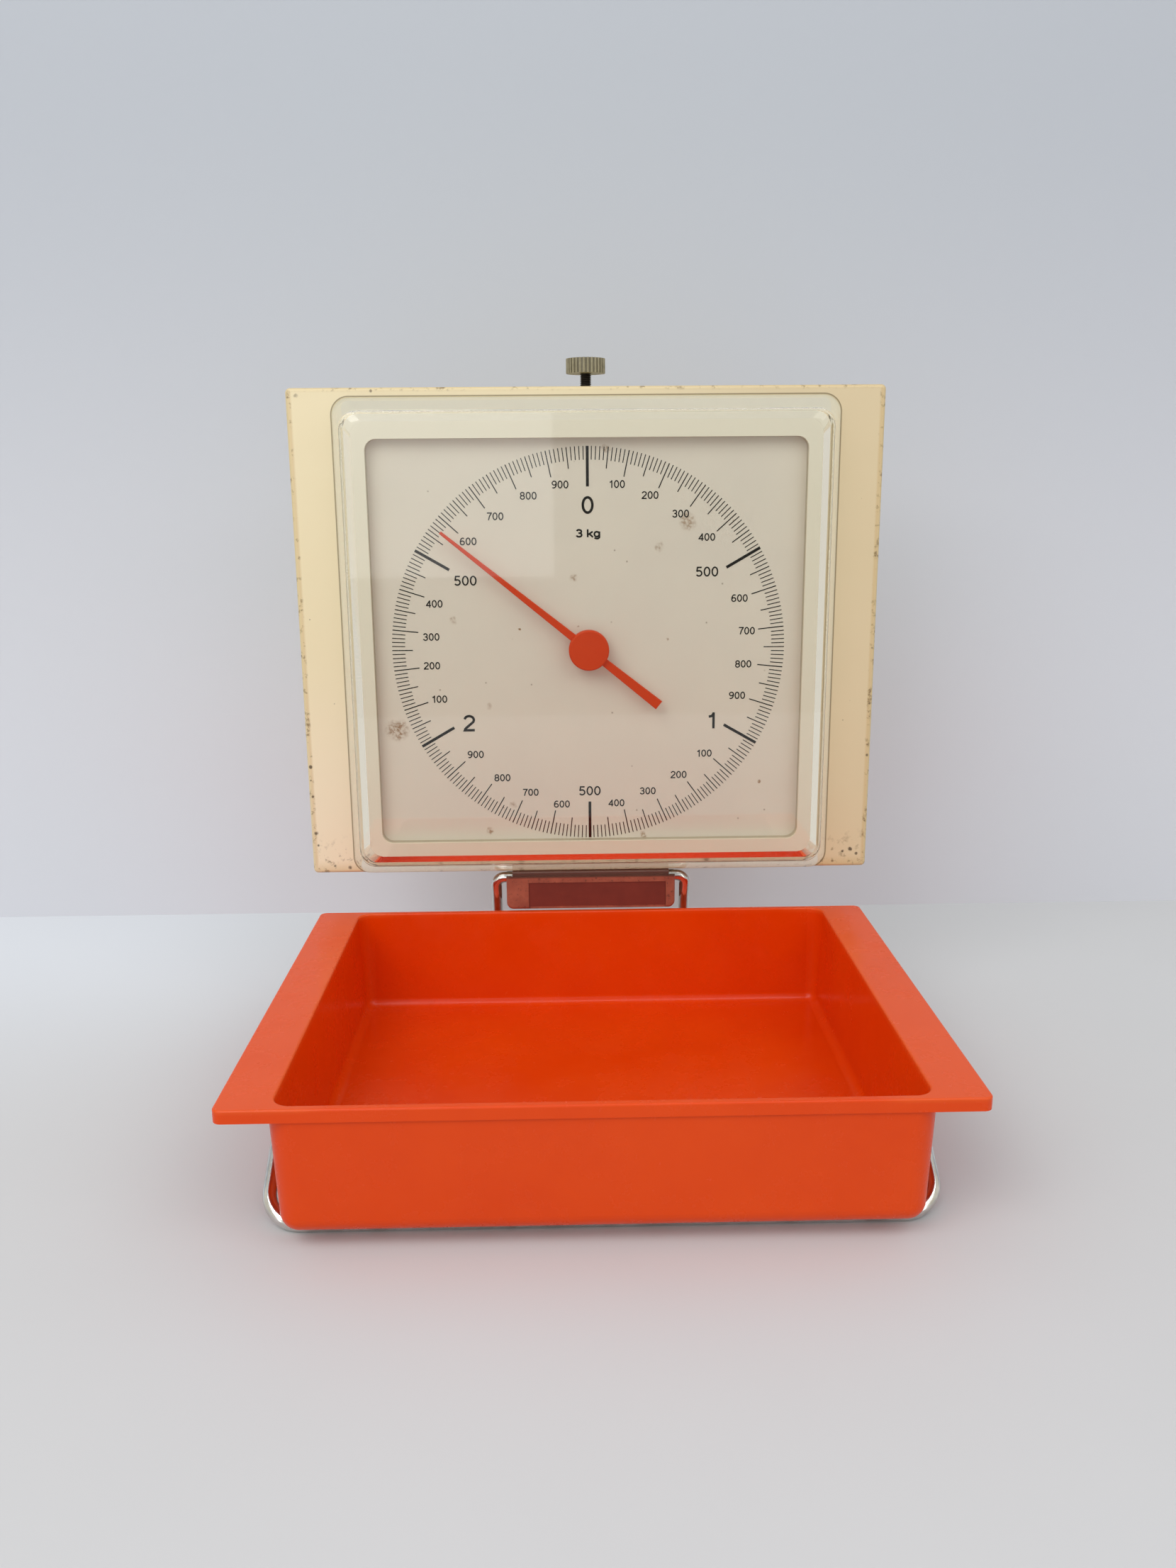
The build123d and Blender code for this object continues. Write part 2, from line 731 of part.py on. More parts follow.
with BuildPart() as zero_knob:
    with BuildSketch(level(knob_z)):
        with Locations((0, screw_y)):
            Circle(knob_r - knob_rib_r)
            with PolarLocations(knob_r - knob_rib_r, knob_ribs):
                Circle(knob_rib_r)
    extrude(amount=knob_h)
    with BuildSketch(level(knob_z)):
        with Locations((0, screw_y)):
            Circle(screw_d / 2 + seat)
    extrude(amount=knob_h - 1.5 + seat, mode=Mode.SUBTRACT)
keep(zero_knob, "zero_knob")

# Stirrup: the screw's journal turns in its top, and the spring's eye hangs on its lower bar
with BuildPart() as zero_hanger:
    with BuildSketch(facing(screw_at - hanger_depth / 2)):
        with Locations((0, hanger_top - hanger_h / 2)):
            Rectangle(hanger_w, hanger_h)
            Rectangle(hanger_w - 2 * hanger_t, hanger_h - 2 * hanger_t, mode=Mode.SUBTRACT)
    extrude(amount=-hanger_depth)
    fillet(zero_hanger.edges().filter_by(Axis.Y).group_by(Axis.Z)[-1], hanger_t / 2)
    with BuildSketch(level(hanger_top)):
        with Locations((0, screw_y)):
            Circle(journal_d / 2 + run)
    extrude(amount=-hanger_t, mode=Mode.SUBTRACT)
keep(zero_hanger, "zero_hanger")

# ================================================================ spring
eye_in = spring_d / 2 - spring_wire / 2
coil_high = hanger_bar_z + hanger_t - sqrt(eye_in**2 - hanger_depth**2 / 4) + eye_slack
coil_low = hook_z + sqrt(eye_in**2 - bar_depth**2 / 4) - eye_slack

with BuildPart() as spring:
    with BuildLine(Plane((0, screw_y, coil_low), x_dir=(0, 1, 0), z_dir=(0, 0, 1))) as coil:
        Helix(spring_pitch, coil_high - coil_low, spring_d / 2)
    with BuildSketch(Plane(coil.line @ 0, z_dir=coil.line % 0)):
        Circle(spring_wire / 2)
    sweep(is_frenet=True)
    # The end turns stand up across the coil as half eyes
    for z, start in ((coil_high, 0), (coil_low, 180)):
        with BuildLine() as eye:
            CenterArc((0, 0, 0), spring_d / 2, start, 180)
        eye_line = Plane((0, screw_y, z), x_dir=(0, 1, 0), z_dir=(1, 0, 0)) * eye.line
        with BuildSketch(Plane(eye_line @ 0, z_dir=eye_line % 0)):
            Circle(spring_wire / 2)
        sweep(path=eye_line)
keep(spring, "spring")

# ================================================================ knuckle and label block
with BuildPart() as knuckle:
    with BuildSketch(facing(-knuckle_front)):
        with Locations((0, housing_z - slip - knuckle_h / 2)):
            Rectangle(knuckle_w, knuckle_h)
    extrude(amount=-knuckle_front - carriage_at)
    fillet(knuckle.edges().filter_by(Axis.X).group_by(Axis.Y)[0], 0.6)
    with BuildSketch(Plane.YZ.offset(-knuckle_w / 2)):
        with Locations((pivot_y, pivot_z)):
            Circle(wire_d / 2 + run)
    extrude(amount=knuckle_w, mode=Mode.SUBTRACT)
    with BuildSketch(facing(carriage_at)):
        with Locations(*knuckle_screw_points):
            Circle(screw_r + seat)
    extrude(amount=carriage_at - 0.5, mode=Mode.SUBTRACT)
keep(knuckle, "knuckle")

knuckle_screws = screw_group(knuckle_screw_points, carriage_at + carriage_t, screw_r,
                             carriage_t + knuckle_screw_bite, head_r, "knuckle_screws")

block_z = rim_z + block_low
label_z = block_z + (block_h - label_top) / 2
label_x = (label_right - label_left) / 2
label_w = label_left + label_right

# Cap over the knuckle's front and ends, notched where the wire comes out
with BuildPart() as label_block:
    with BuildSketch(facing(-block_front)):
        with Locations((0, block_z + block_h / 2)):
            Rectangle(block_w, block_h)
    extrude(amount=-block_front - block_back)
    fillet(label_block.edges().filter_by(Axis.Y).group_by(Axis.Z)[0], block_corner_r)
    fillet(label_block.faces().sort_by(Axis.Y)[0].edges().group_by(Axis.Z)[0], block_edge_r)
    with BuildSketch(facing(-knuckle_front - 0.1)):
        with Locations((0, block_z + block_wall + block_h / 2)):
            Rectangle(knuckle_w + 0.4, block_h)
    extrude(amount=-knuckle_front - 0.1 - block_back, mode=Mode.SUBTRACT)
    with BuildSketch(Plane.YZ.offset(-block_w / 2)):
        with Locations((pivot_y, pivot_z)):
            Circle(wire_d / 2 + slip)
        with Locations((pivot_y, pivot_z + wire_d)):
            Rectangle(wire_d + 2 * slip, 2 * wire_d)
    extrude(amount=block_w, mode=Mode.SUBTRACT)
    with BuildSketch(facing(-block_front)):
        with Locations((label_x, label_z)):
            Rectangle(label_w, block_h - label_top)
    extrude(amount=-label_depth, mode=Mode.SUBTRACT)
keep(label_block, "label_block")

with BuildPart() as blank_label:
    with BuildSketch(facing(label_depth - block_front)):
        with Locations((label_x, label_z + block_edge_r / 2)):
            Rectangle(label_w - 2 * label_fit, block_h - label_top - block_edge_r - 2 * label_fit)
    extrude(amount=label_depth / 2)
keep(blank_label, "blank_label")

# ================================================================ wire frame
wire_r = wire_d / 2
foot_y = face_y + foot_back
front_run_y = rim_front_y + front_run_in
run_z = rim_z - rim_plate_t - slip - wire_r
climb = (run_z - wire_r) / tan(radians(run_slope))

with BuildPart() as wire_frame:
    with BuildLine() as wire_path:
        FilletPolyline(
            (knuckle_w / 2 - pin_grip, pivot_y, pivot_z),
            (leg_x, pivot_y, pivot_z),
            (leg_x, foot_y, wire_r),
            (side_run_x, foot_y, wire_r),
            (side_run_x, foot_y - climb, run_z),
            (side_run_x, front_run_y + climb, run_z),
            (side_run_x, front_run_y, wire_r),
            (0, front_run_y, wire_r),
            radius=[arch_bend_r, side_bend_r, corner_bend_r, side_bend_r, side_bend_r,
                    corner_bend_r])
    with BuildSketch(Plane(wire_path.line @ 0, z_dir=wire_path.line % 0)):
        Circle(wire_r)
    sweep()
    mirror(about=Plane.YZ)
keep(wire_frame, "wire_frame")

# ================================================================ tray
with BuildPart() as tray_hollow:
    with BuildSketch(level(rim_z)):
        with Locations((0, tray_y)):
            RectangleRounded(tray_open_w, tray_open_d, tray_corner_r - tray_wall)
    extrude(amount=tray_floor - tray_h, taper=tray_draft)
    fillet(tray_hollow.faces().sort_by(Axis.Z)[0].edges(), tray_bottom_r - tray_wall)

with BuildPart() as tray:
    with BuildSketch(level(rim_z)):
        with Locations((0, tray_y)):
            RectangleRounded(tray_open_w + 2 * tray_wall, tray_open_d + 2 * tray_wall,
                             tray_corner_r)
    extrude(amount=-tray_h, taper=tray_draft)
    fillet(tray.faces().sort_by(Axis.Z)[0].edges(), tray_bottom_r)
    with BuildSketch(level(rim_z)):
        with Locations((0, tray_y)):
            RectangleRounded(tray_w, tray_d, rim_corner_r)
    extrude(amount=-rim_t)
    # Channel under each handle flange, open at the rear: the wire's level runs lie in it
    flange_in = tray_open_w / 2 + tray_wall
    flange_w = tray_w / 2 - tray_wall - flange_in
    with BuildSketch(level(rim_z - rim_t)):
        with Locations(*[(side * (flange_in + flange_w / 2), tray_y + tray_wall / 2)
                         for side in (-1, 1)]):
            Rectangle(flange_w, tray_d - tray_wall)
    extrude(amount=rim_t - rim_plate_t, mode=Mode.SUBTRACT)
    add(tray_hollow.part, mode=Mode.SUBTRACT)
    fillet(tray.faces().sort_by(Axis.Z)[-1].edges(), 0.6)
keep(tray, "tray")
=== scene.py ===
"""Kitchen scale: finishes, dial printing, zero screw's thread, studio and camera."""
import json
import math

import bmesh
import bpy
from mathutils import Matrix, Vector


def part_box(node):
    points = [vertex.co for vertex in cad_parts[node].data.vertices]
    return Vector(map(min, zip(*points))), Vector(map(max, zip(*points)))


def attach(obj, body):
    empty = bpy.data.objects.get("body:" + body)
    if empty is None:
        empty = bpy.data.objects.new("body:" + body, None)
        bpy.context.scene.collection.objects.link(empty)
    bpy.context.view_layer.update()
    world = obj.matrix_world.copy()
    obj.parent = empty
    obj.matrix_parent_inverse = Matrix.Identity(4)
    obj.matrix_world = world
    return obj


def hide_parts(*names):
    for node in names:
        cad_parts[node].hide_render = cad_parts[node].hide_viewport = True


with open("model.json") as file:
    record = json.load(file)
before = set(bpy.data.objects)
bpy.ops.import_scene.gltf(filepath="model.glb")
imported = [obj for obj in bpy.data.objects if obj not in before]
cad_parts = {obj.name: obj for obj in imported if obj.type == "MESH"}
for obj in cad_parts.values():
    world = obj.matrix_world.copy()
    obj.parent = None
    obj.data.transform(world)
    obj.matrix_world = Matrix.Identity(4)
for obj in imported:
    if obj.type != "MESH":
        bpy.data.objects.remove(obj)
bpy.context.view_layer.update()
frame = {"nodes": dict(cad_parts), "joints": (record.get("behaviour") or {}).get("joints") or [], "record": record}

MM = 0.001
HOUSING_LOW, HOUSING_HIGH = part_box("housing")
COVER_LOW, COVER_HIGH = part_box("clear_cover")
DIAL_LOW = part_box("dial_plate")[0]
TRAY_LOW, TRAY_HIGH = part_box("tray")
SCREW_LOW, SCREW_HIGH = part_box("zero_screw")
# The housing's faces (mm)
FRONT, SIDE = HOUSING_LOW.y / MM, HOUSING_HIGH.x / MM
BOTTOM, TOP = HOUSING_LOW.z / MM, HOUSING_HIGH.z / MM
COVER_CORNER_R = 6.0  # mm
PIVOT = next(j["pos_m"] for j in frame["joints"] if j["name"] == "pointer_turn")
# The dial's middle (mm)
DIAL_X, DIAL_Z = PIVOT[0] / MM, PIVOT[2] / MM


# ---------------------------------------------------------------- node helper and colours
def linear(code):
    """A linear RGBA from an sRGB hex colour."""
    parts = [int(code[i:i + 2], 16) / 255 for i in (1, 3, 5)]
    rgb = [c / 12.92 if c <= 0.04045 else ((c + 0.055) / 1.055) ** 2.4 for c in parts]
    return (*rgb, 1.0)


def add(tree, kind, links=None, **settings):
    """Adds a node with its settings, and fills its inputs with values, sockets or other nodes."""
    node = tree.nodes.new(kind)
    for name, value in settings.items():
        setattr(node, name, value)
    for key, value in (links or {}).items():
        if isinstance(key, int):
            socket = node.inputs[key]
        else:
            socket = next(s for s in node.inputs if s.enabled and s.name == key)
        if isinstance(value, bpy.types.Node):
            value = next(s for s in value.outputs if s.enabled)
        if isinstance(value, bpy.types.NodeSocket):
            tree.links.new(value, socket)
        else:
            socket.default_value = value
    return node


def new_finish(name):
    """An empty material, its node tree, and its surface position in millimetres."""
    material = bpy.data.materials.new(name)
    material.use_nodes = True
    tree = material.node_tree
    tree.nodes.clear()
    place = add(tree, "ShaderNodeTexCoord")
    mm = add(tree, "ShaderNodeVectorMath", {0: place.outputs["Object"], "Scale": 1 / MM},
             operation="SCALE")
    return material, tree, mm


def close_finish(tree, shader):
    """Joins the last shader to the material's output."""
    add(tree, "ShaderNodeOutputMaterial", {"Surface": shader})


def mottled(tree, mm, across, tones, span=(0.0, 1.0), detail=4.0, rough=0.5):
    """Two tones in clouds that many mm across, mixed over a span of the noise. Returns both."""
    clouds = add(tree, "ShaderNodeTexNoise", {
        "Vector": mm, "Scale": 1 / across, "Detail": detail, "Roughness": rough}).outputs["Fac"]
    shade = add(tree, "ShaderNodeMapRange", {
        "Value": clouds, "From Min": span[0], "From Max": span[1]})
    colour = add(tree, "ShaderNodeMix", {
        "Factor": shade, "A": linear(tones[0]), "B": linear(tones[1])}, data_type="RGBA")
    return colour, clouds


def grain(tree, mm, across, depth, strength, detail=2.0):
    """The relief of a grain that many mm across and deep."""
    noise = add(tree, "ShaderNodeTexNoise", {"Vector": mm, "Scale": 1 / across, "Detail": detail})
    return add(tree, "ShaderNodeBump", {
        "Height": noise.outputs["Fac"], "Strength": strength, "Distance": depth * MM})


# ---------------------------------------------------------------- finishes
# Crusted marks on the housing's face: x from its middle, height, radius (mm) and strength
MARKS = (
    (-100.8, 97.0, 0.7, 0.9), (-101.0, 92.0, 0.5, 0.8), (-100.6, 86.0, 0.8, 0.9),
    (-100.2, 72.0, 1.0, 0.9), (-99.6, 67.5, 0.6, 0.8), (-94.0, 59.6, 0.7, 0.7),
    (-88.5, 59.0, 0.8, 0.8), (-84.0, 60.2, 0.5, 0.8), (-98.5, 225.4, 1.0, 0.5),
    (-73.0, 226.8, 0.6, 0.7), (93.2, 62.6, 0.7, 0.9), (96.0, 63.4, 0.9, 0.9),
    (98.4, 61.8, 0.6, 0.8), (101.0, 138.0, 0.5, 0.7), (101.0, 118.0, 0.7, 0.8),
    (100.8, 99.0, 0.6, 0.8), (-98.0, 150.0, 0.3, 0.7), (-91.0, 120.0, 0.3, 0.6),
    (91.5, 112.0, 0.3, 0.7), (95.0, 190.0, 0.3, 0.6),
)


def outside_cover(tree, xyz, from_x):
    """How far a point lies outside the clear cover's rounded outline, seen from the front (mm)."""
    centre = (COVER_LOW + COVER_HIGH) / 2 / MM
    half = (COVER_HIGH - COVER_LOW) / 2 / MM
    from_z = add(tree, "ShaderNodeMath", {0: xyz.outputs["Z"], 1: centre.z}, operation="SUBTRACT")
    from_z = add(tree, "ShaderNodeMath", {0: from_z}, operation="ABSOLUTE")
    past = []
    for away, straight in ((from_x, half.x), (from_z, half.z)):
        over = add(tree, "ShaderNodeMath", {0: away, 1: straight - COVER_CORNER_R},
                   operation="SUBTRACT")
        past.append(add(tree, "ShaderNodeMath", {0: over, 1: 0.0}, operation="MAXIMUM"))
    past = add(tree, "ShaderNodeCombineXYZ", {0: past[0], 1: past[1]})
    past = add(tree, "ShaderNodeVectorMath", {0: past}, operation="LENGTH").outputs["Value"]
    return add(tree, "ShaderNodeMath", {0: past, 1: COVER_CORNER_R}, operation="SUBTRACT")


def yellowed_abs():
    """ABS, moulded, yellowed by light: a satin cream skin, paler under the clear cover, browner
    and specked with dirt along its outer edges."""
    material, tree, mm = new_finish("abs_moulded_yellowed")
    xyz = add(tree, "ShaderNodeSeparateXYZ", {0: mm})
    from_x = add(tree, "ShaderNodeMath", {0: xyz.outputs["X"]}, operation="ABSOLUTE")
    outside = outside_cover(tree, xyz, from_x)
    shielded = add(tree, "ShaderNodeMapRange", {
        "Value": outside, "From Min": -1.2, "From Max": -0.2, "To Min": 1.0, "To Max": 0.0},
        interpolation_type="SMOOTHSTEP")
    # Only the front lies under the cover
    covered = add(tree, "ShaderNodeMapRange", {
        "Value": xyz.outputs["Y"], "From Min": FRONT + 12.0, "From Max": FRONT + 10.0})
    shielded = add(tree, "ShaderNodeMath", {0: shielded, 1: covered}, operation="MULTIPLY")
    # Cloudy yellowing, 70 mm across
    cream, _ = mottled(tree, mm, 70, ("#EADBAE", "#EBDCB3"), detail=3.0, rough=0.55)
    # Painted shade: the right side is darker, where less light falls
    right = add(tree, "ShaderNodeMapRange", {
        "Value": xyz.outputs["X"], "From Min": -20.0, "From Max": SIDE - 7.0},
        interpolation_type="SMOOTHSTEP")
    skin_with_painted_light = add(tree, "ShaderNodeMix", {"Factor": right, "A": cream, "B": linear("#DCC99F")},
                 data_type="RGBA")
    # Painted light from the tray: its lower third is paler, most on the left
    painted_bounce = add(tree, "ShaderNodeMapRange", {
        "Value": xyz.outputs["Z"], "From Min": BOTTOM + 93.1, "From Max": BOTTOM + 13.1,
        "To Min": 0.0, "To Max": 0.45}, interpolation_type="SMOOTHSTEP")
    left_weight = add(tree, "ShaderNodeMath", {0: 1.0, 1: right}, operation="SUBTRACT")
    painted_bounce = add(tree, "ShaderNodeMath", {0: painted_bounce, 1: left_weight}, operation="MULTIPLY")
    skin_with_painted_light = add(tree, "ShaderNodeMix", {"Factor": painted_bounce, "A": skin_with_painted_light, "B": linear("#F9E9CE")},
                 data_type="RGBA")
    kept = add(tree, "ShaderNodeMix", {"Factor": shielded, "A": skin_with_painted_light, "B": linear("#F0EAD4")},
               data_type="RGBA")
    # The window's walls, under the cover, are darker deeper into the opening
    walls = add(tree, "ShaderNodeMapRange", {
        "Value": xyz.outputs["Y"], "From Min": FRONT + 0.7, "From Max": FRONT + 1.6,
        "To Min": 0.0, "To Max": 0.6})
    walls = add(tree, "ShaderNodeMath", {0: walls, 1: shielded}, operation="MULTIPLY")
    kept = add(tree, "ShaderNodeMix", {"Factor": walls, "A": kept, "B": linear("#7A6A48")},
               data_type="RGBA")
    # The rounded outer edges are rubbed browner
    side = add(tree, "ShaderNodeMapRange", {
        "Value": from_x, "From Min": SIDE - 2.4, "From Max": SIDE - 1.4},
        interpolation_type="SMOOTHSTEP")
    low = add(tree, "ShaderNodeMapRange", {
        "Value": xyz.outputs["Z"], "From Min": BOTTOM + 5.1, "From Max": BOTTOM + 0.6},
        interpolation_type="SMOOTHSTEP")
    high = add(tree, "ShaderNodeMapRange", {
        "Value": xyz.outputs["Z"], "From Min": TOP - 1.7, "From Max": TOP - 0.3},
        interpolation_type="SMOOTHSTEP")
    near = add(tree, "ShaderNodeMapRange", {
        "Value": xyz.outputs["Y"], "From Min": FRONT + 7.0, "From Max": FRONT + 2.0},
        interpolation_type="SMOOTHSTEP")
    edge = add(tree, "ShaderNodeMath", {0: low, 1: high}, operation="MAXIMUM")
    edge = add(tree, "ShaderNodeMath", {0: side, 1: edge}, operation="MAXIMUM")
    edge = add(tree, "ShaderNodeMath", {0: edge, 1: near}, operation="MULTIPLY")
    tanned = add(tree, "ShaderNodeMath", {0: edge, 1: 0.45}, operation="MULTIPLY")
    soiled = add(tree, "ShaderNodeMix", {"Factor": tanned, "A": kept, "B": linear("#C9A968")},
                 data_type="RGBA")
    # Crusts of dirt 1 to 3 mm across, on the edges and thickest at the lower corners
    corner_x = add(tree, "ShaderNodeMapRange", {
        "Value": from_x, "From Min": SIDE - 28.0, "From Max": SIDE - 16.0})
    corner_z = add(tree, "ShaderNodeMapRange", {
        "Value": xyz.outputs["Z"], "From Min": BOTTOM + 15.1, "From Max": BOTTOM + 2.1})
    corner = add(tree, "ShaderNodeMath", {0: corner_x, 1: corner_z}, operation="MULTIPLY")
    corner = add(tree, "ShaderNodeMath", {0: corner, 1: near}, operation="MULTIPLY")
    reach = add(tree, "ShaderNodeMath", {0: edge, 1: corner}, operation="MAXIMUM")
    crumbs = add(tree, "ShaderNodeTexNoise", {
        "Vector": mm, "Scale": 1 / 3, "Detail": 6.0, "Roughness": 0.7}).outputs["Fac"]
    crust = add(tree, "ShaderNodeMapRange", {
        "Value": crumbs, "From Min": 0.55, "From Max": 0.66, "To Min": 0.0, "To Max": 0.85})
    dirt = add(tree, "ShaderNodeMath", {0: reach, 1: crust}, operation="MULTIPLY")
    soiled = add(tree, "ShaderNodeMix", {"Factor": dirt, "A": soiled, "B": linear("#6E5226")},
                 data_type="RGBA")
    # Dark specks 0.5 to 1 mm across, thick near the edges and few elsewhere
    cells = add(tree, "ShaderNodeTexVoronoi", {"Vector": mm, "Scale": 1 / 5.5, "Randomness": 1.0})
    pick = add(tree, "ShaderNodeSeparateColor", {0: cells.outputs["Color"]})
    often = add(tree, "ShaderNodeMapRange", {
        "Value": reach, "From Min": 0.0, "From Max": 0.5, "To Min": 0.08, "To Max": 0.5})
    chosen = add(tree, "ShaderNodeMath", {0: pick.outputs[0], 1: often}, operation="LESS_THAN")
    size = add(tree, "ShaderNodeMapRange", {
        "Value": pick.outputs[1], "To Min": 0.03, "To Max": 0.10})
    ragged = add(tree, "ShaderNodeMath", {0: crumbs, 1: 0.12, 2: cells.outputs["Distance"]},
                 operation="MULTIPLY_ADD")
    ragged = add(tree, "ShaderNodeMath", {0: ragged, 1: 0.05}, operation="SUBTRACT")
    shape = add(tree, "ShaderNodeMath", {0: ragged, 1: size}, operation="DIVIDE")
    spot = add(tree, "ShaderNodeMapRange", {
        "Value": shape, "From Min": 1.0, "From Max": 0.4, "To Min": 0.0, "To Max": 0.75},
        interpolation_type="SMOOTHSTEP")
    specks = add(tree, "ShaderNodeMath", {0: spot, 1: chosen}, operation="MULTIPLY")
    open_skin = add(tree, "ShaderNodeMath", {0: 1.0, 1: shielded}, operation="SUBTRACT")
    specks = add(tree, "ShaderNodeMath", {0: specks, 1: open_skin}, operation="MULTIPLY")
    colour = add(tree, "ShaderNodeMix", {"Factor": specks, "A": soiled, "B": linear("#5F4A2C")},
                 data_type="RGBA")
    # Single crusted marks with ragged outlines
    for x, z, radius, strength in MARKS:
        away = add(tree, "ShaderNodeVectorMath", {0: mm, 1: (x, FRONT, z)}, operation="DISTANCE")
        away = add(tree, "ShaderNodeMath", {
            0: crumbs, 1: 2.4 * radius, 2: away.outputs["Value"]}, operation="MULTIPLY_ADD")
        mark = add(tree, "ShaderNodeMapRange", {
            "Value": away, "From Min": 2.2 * radius, "From Max": 1.5 * radius, "To Min": 0.0,
            "To Max": strength}, interpolation_type="SMOOTHSTEP")
        colour = add(tree, "ShaderNodeMix", {"Factor": mark, "A": colour, "B": linear("#4E3A20")},
                     data_type="RGBA")
    # Dirt held in the seam round the clear cover, 0.4 mm wide
    seam = add(tree, "ShaderNodeMath", {0: outside, 1: 0.1}, operation="SUBTRACT")
    seam = add(tree, "ShaderNodeMath", {0: seam}, operation="ABSOLUTE")
    seam = add(tree, "ShaderNodeMapRange", {
        "Value": seam, "From Min": 0.3, "From Max": 0.12, "To Min": 0.0, "To Max": 0.75})
    face = add(tree, "ShaderNodeMath", {0: xyz.outputs["Y"], 1: FRONT + 1.0},
               operation="LESS_THAN")
    seam = add(tree, "ShaderNodeMath", {0: seam, 1: face}, operation="MULTIPLY")
    colour = add(tree, "ShaderNodeMix", {"Factor": seam, "A": colour, "B": linear("#6B5A3A")},
                 data_type="RGBA")
    # Mould texture 0.6 mm across, and rubbed patches 18 mm across
    rubbed = add(tree, "ShaderNodeTexNoise", {"Vector": mm, "Scale": 1 / 18, "Detail": 4.0})
    gloss = add(tree, "ShaderNodeMapRange", {
        "Value": rubbed.outputs["Fac"], "From Min": 0.3, "From Max": 0.7, "To Min": 0.34,
        "To Max": 0.5})
    close_finish(tree, add(tree, "ShaderNodeBsdfPrincipled", {
        "Base Color": colour, "Roughness": gloss, "IOR": 1.53,
        "Normal": grain(tree, mm, 0.6, 0.05, 0.12)}))
    return material


def clear_acrylic():
    """Acrylic, moulded and polished: clear, with fine wiping scratches in its gloss."""
    material, tree, mm = new_finish("acrylic_moulded_clear")
    # Wiping scratches 0.5 mm apart and 25 mm long
    stretched = add(tree, "ShaderNodeMapping", {
        "Vector": mm, "Rotation": (0.0, 0.5, 0.0), "Scale": (1 / 25, 1 / 25, 1 / 0.5)})
    wiped = add(tree, "ShaderNodeTexNoise", {"Vector": stretched, "Scale": 1.0, "Detail": 4.0})
    gloss = add(tree, "ShaderNodeMapRange", {
        "Value": wiped.outputs["Fac"], "From Min": 0.45, "From Max": 0.75, "To Min": 0.02,
        "To Max": 0.07})
    # The moulding swells a little, every 24 mm
    clear = add(tree, "ShaderNodeBsdfPrincipled", {
        "Base Color": linear("#FBFBF8"), "Roughness": gloss, "IOR": 1.49,
        "Transmission Weight": 1.0, "Normal": grain(tree, mm, 24, 0.05, 0.1, detail=1.0)})
    # Light passes through to the dial without a shadow
    path = add(tree, "ShaderNodeLightPath")
    lets_by = add(tree, "ShaderNodeMath", {
        0: path.outputs["Is Shadow Ray"], 1: path.outputs["Is Diffuse Ray"]}, operation="MAXIMUM")
    open_air = add(tree, "ShaderNodeBsdfTransparent", {"Color": linear("#F4F4F0")})
    close_finish(tree, add(tree, "ShaderNodeMixShader", {0: lets_by, 1: clear, 2: open_air}))
    return material


def tray_shaded_abs():
    """The same ABS between housing and tray, painted dark red-brown for its shade and the tray's orange light on
    it, with crusts of dirt and painted shade on top.
    """
    material, tree, mm = new_finish("abs_moulded_in_painted_shade")
    # Painted shade and painted orange light from the tray: darker red-browns than the housing's cream
    colour, _ = mottled(tree, mm, 9, ("#A45C42", "#8A4632"), (0.35, 0.68), 5.0, 0.65)
    # Crusts of dirt 1 mm across, and painted shade on its top, under the housing
    xyz = add(tree, "ShaderNodeSeparateXYZ", {0: mm})
    block_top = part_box("label_block")[1].z / MM
    top = add(tree, "ShaderNodeMapRange", {
        "Value": xyz.outputs["Z"], "From Min": block_top - 0.6, "From Max": block_top - 0.1,
        "To Max": 0.8})
    crust = add(tree, "ShaderNodeTexNoise", {
        "Vector": mm, "Scale": 1 / 1.4, "Detail": 4.0, "Roughness": 0.7})
    crust = add(tree, "ShaderNodeMapRange", {
        "Value": crust.outputs["Fac"], "From Min": 0.56, "From Max": 0.68, "To Min": 0.0,
        "To Max": 0.75})
    dirt = add(tree, "ShaderNodeMath", {0: crust, 1: top}, operation="MAXIMUM")
    colour = add(tree, "ShaderNodeMix", {"Factor": dirt, "A": colour, "B": linear("#4A2A20")},
                 data_type="RGBA")
    relief = add(tree, "ShaderNodeBump", {
        "Height": crust, "Strength": 0.2, "Distance": 0.08 * MM})
    close_finish(tree, add(tree, "ShaderNodeBsdfPrincipled", {
        "Base Color": colour, "Roughness": 0.45, "IOR": 1.53, "Normal": relief}))
    return material


# Stains on the dial sheet: x from its middle, height, radius (mm) and strength
FOXING = (
    (35.0, 182.5, 4.0, 0.49), (25.0, 174.0, 2.2, 0.42), (-5.0, 163.4, 1.6, 0.49),
    (-24.3, 145.5, 0.7, 1), (27.9, 141.5, 0.7, 1), (62.3, 89.0, 1.0, 0.98),
    (-4.3, 146.5, 0.6, 0.98), (-69.5, 109.6, 5.0, 0.7), (-28.0, 81.5, 1.6, 0.49),
    (-36.8, 71.5, 1.8, 0.56), (20.0, 69.0, 1.6, 0.49), (6.4, 207.8, 1.8, 0.49),
    (-48.0, 149.0, 1.6, 0.35), (-36.0, 118.0, 1.4, 0.35),
)


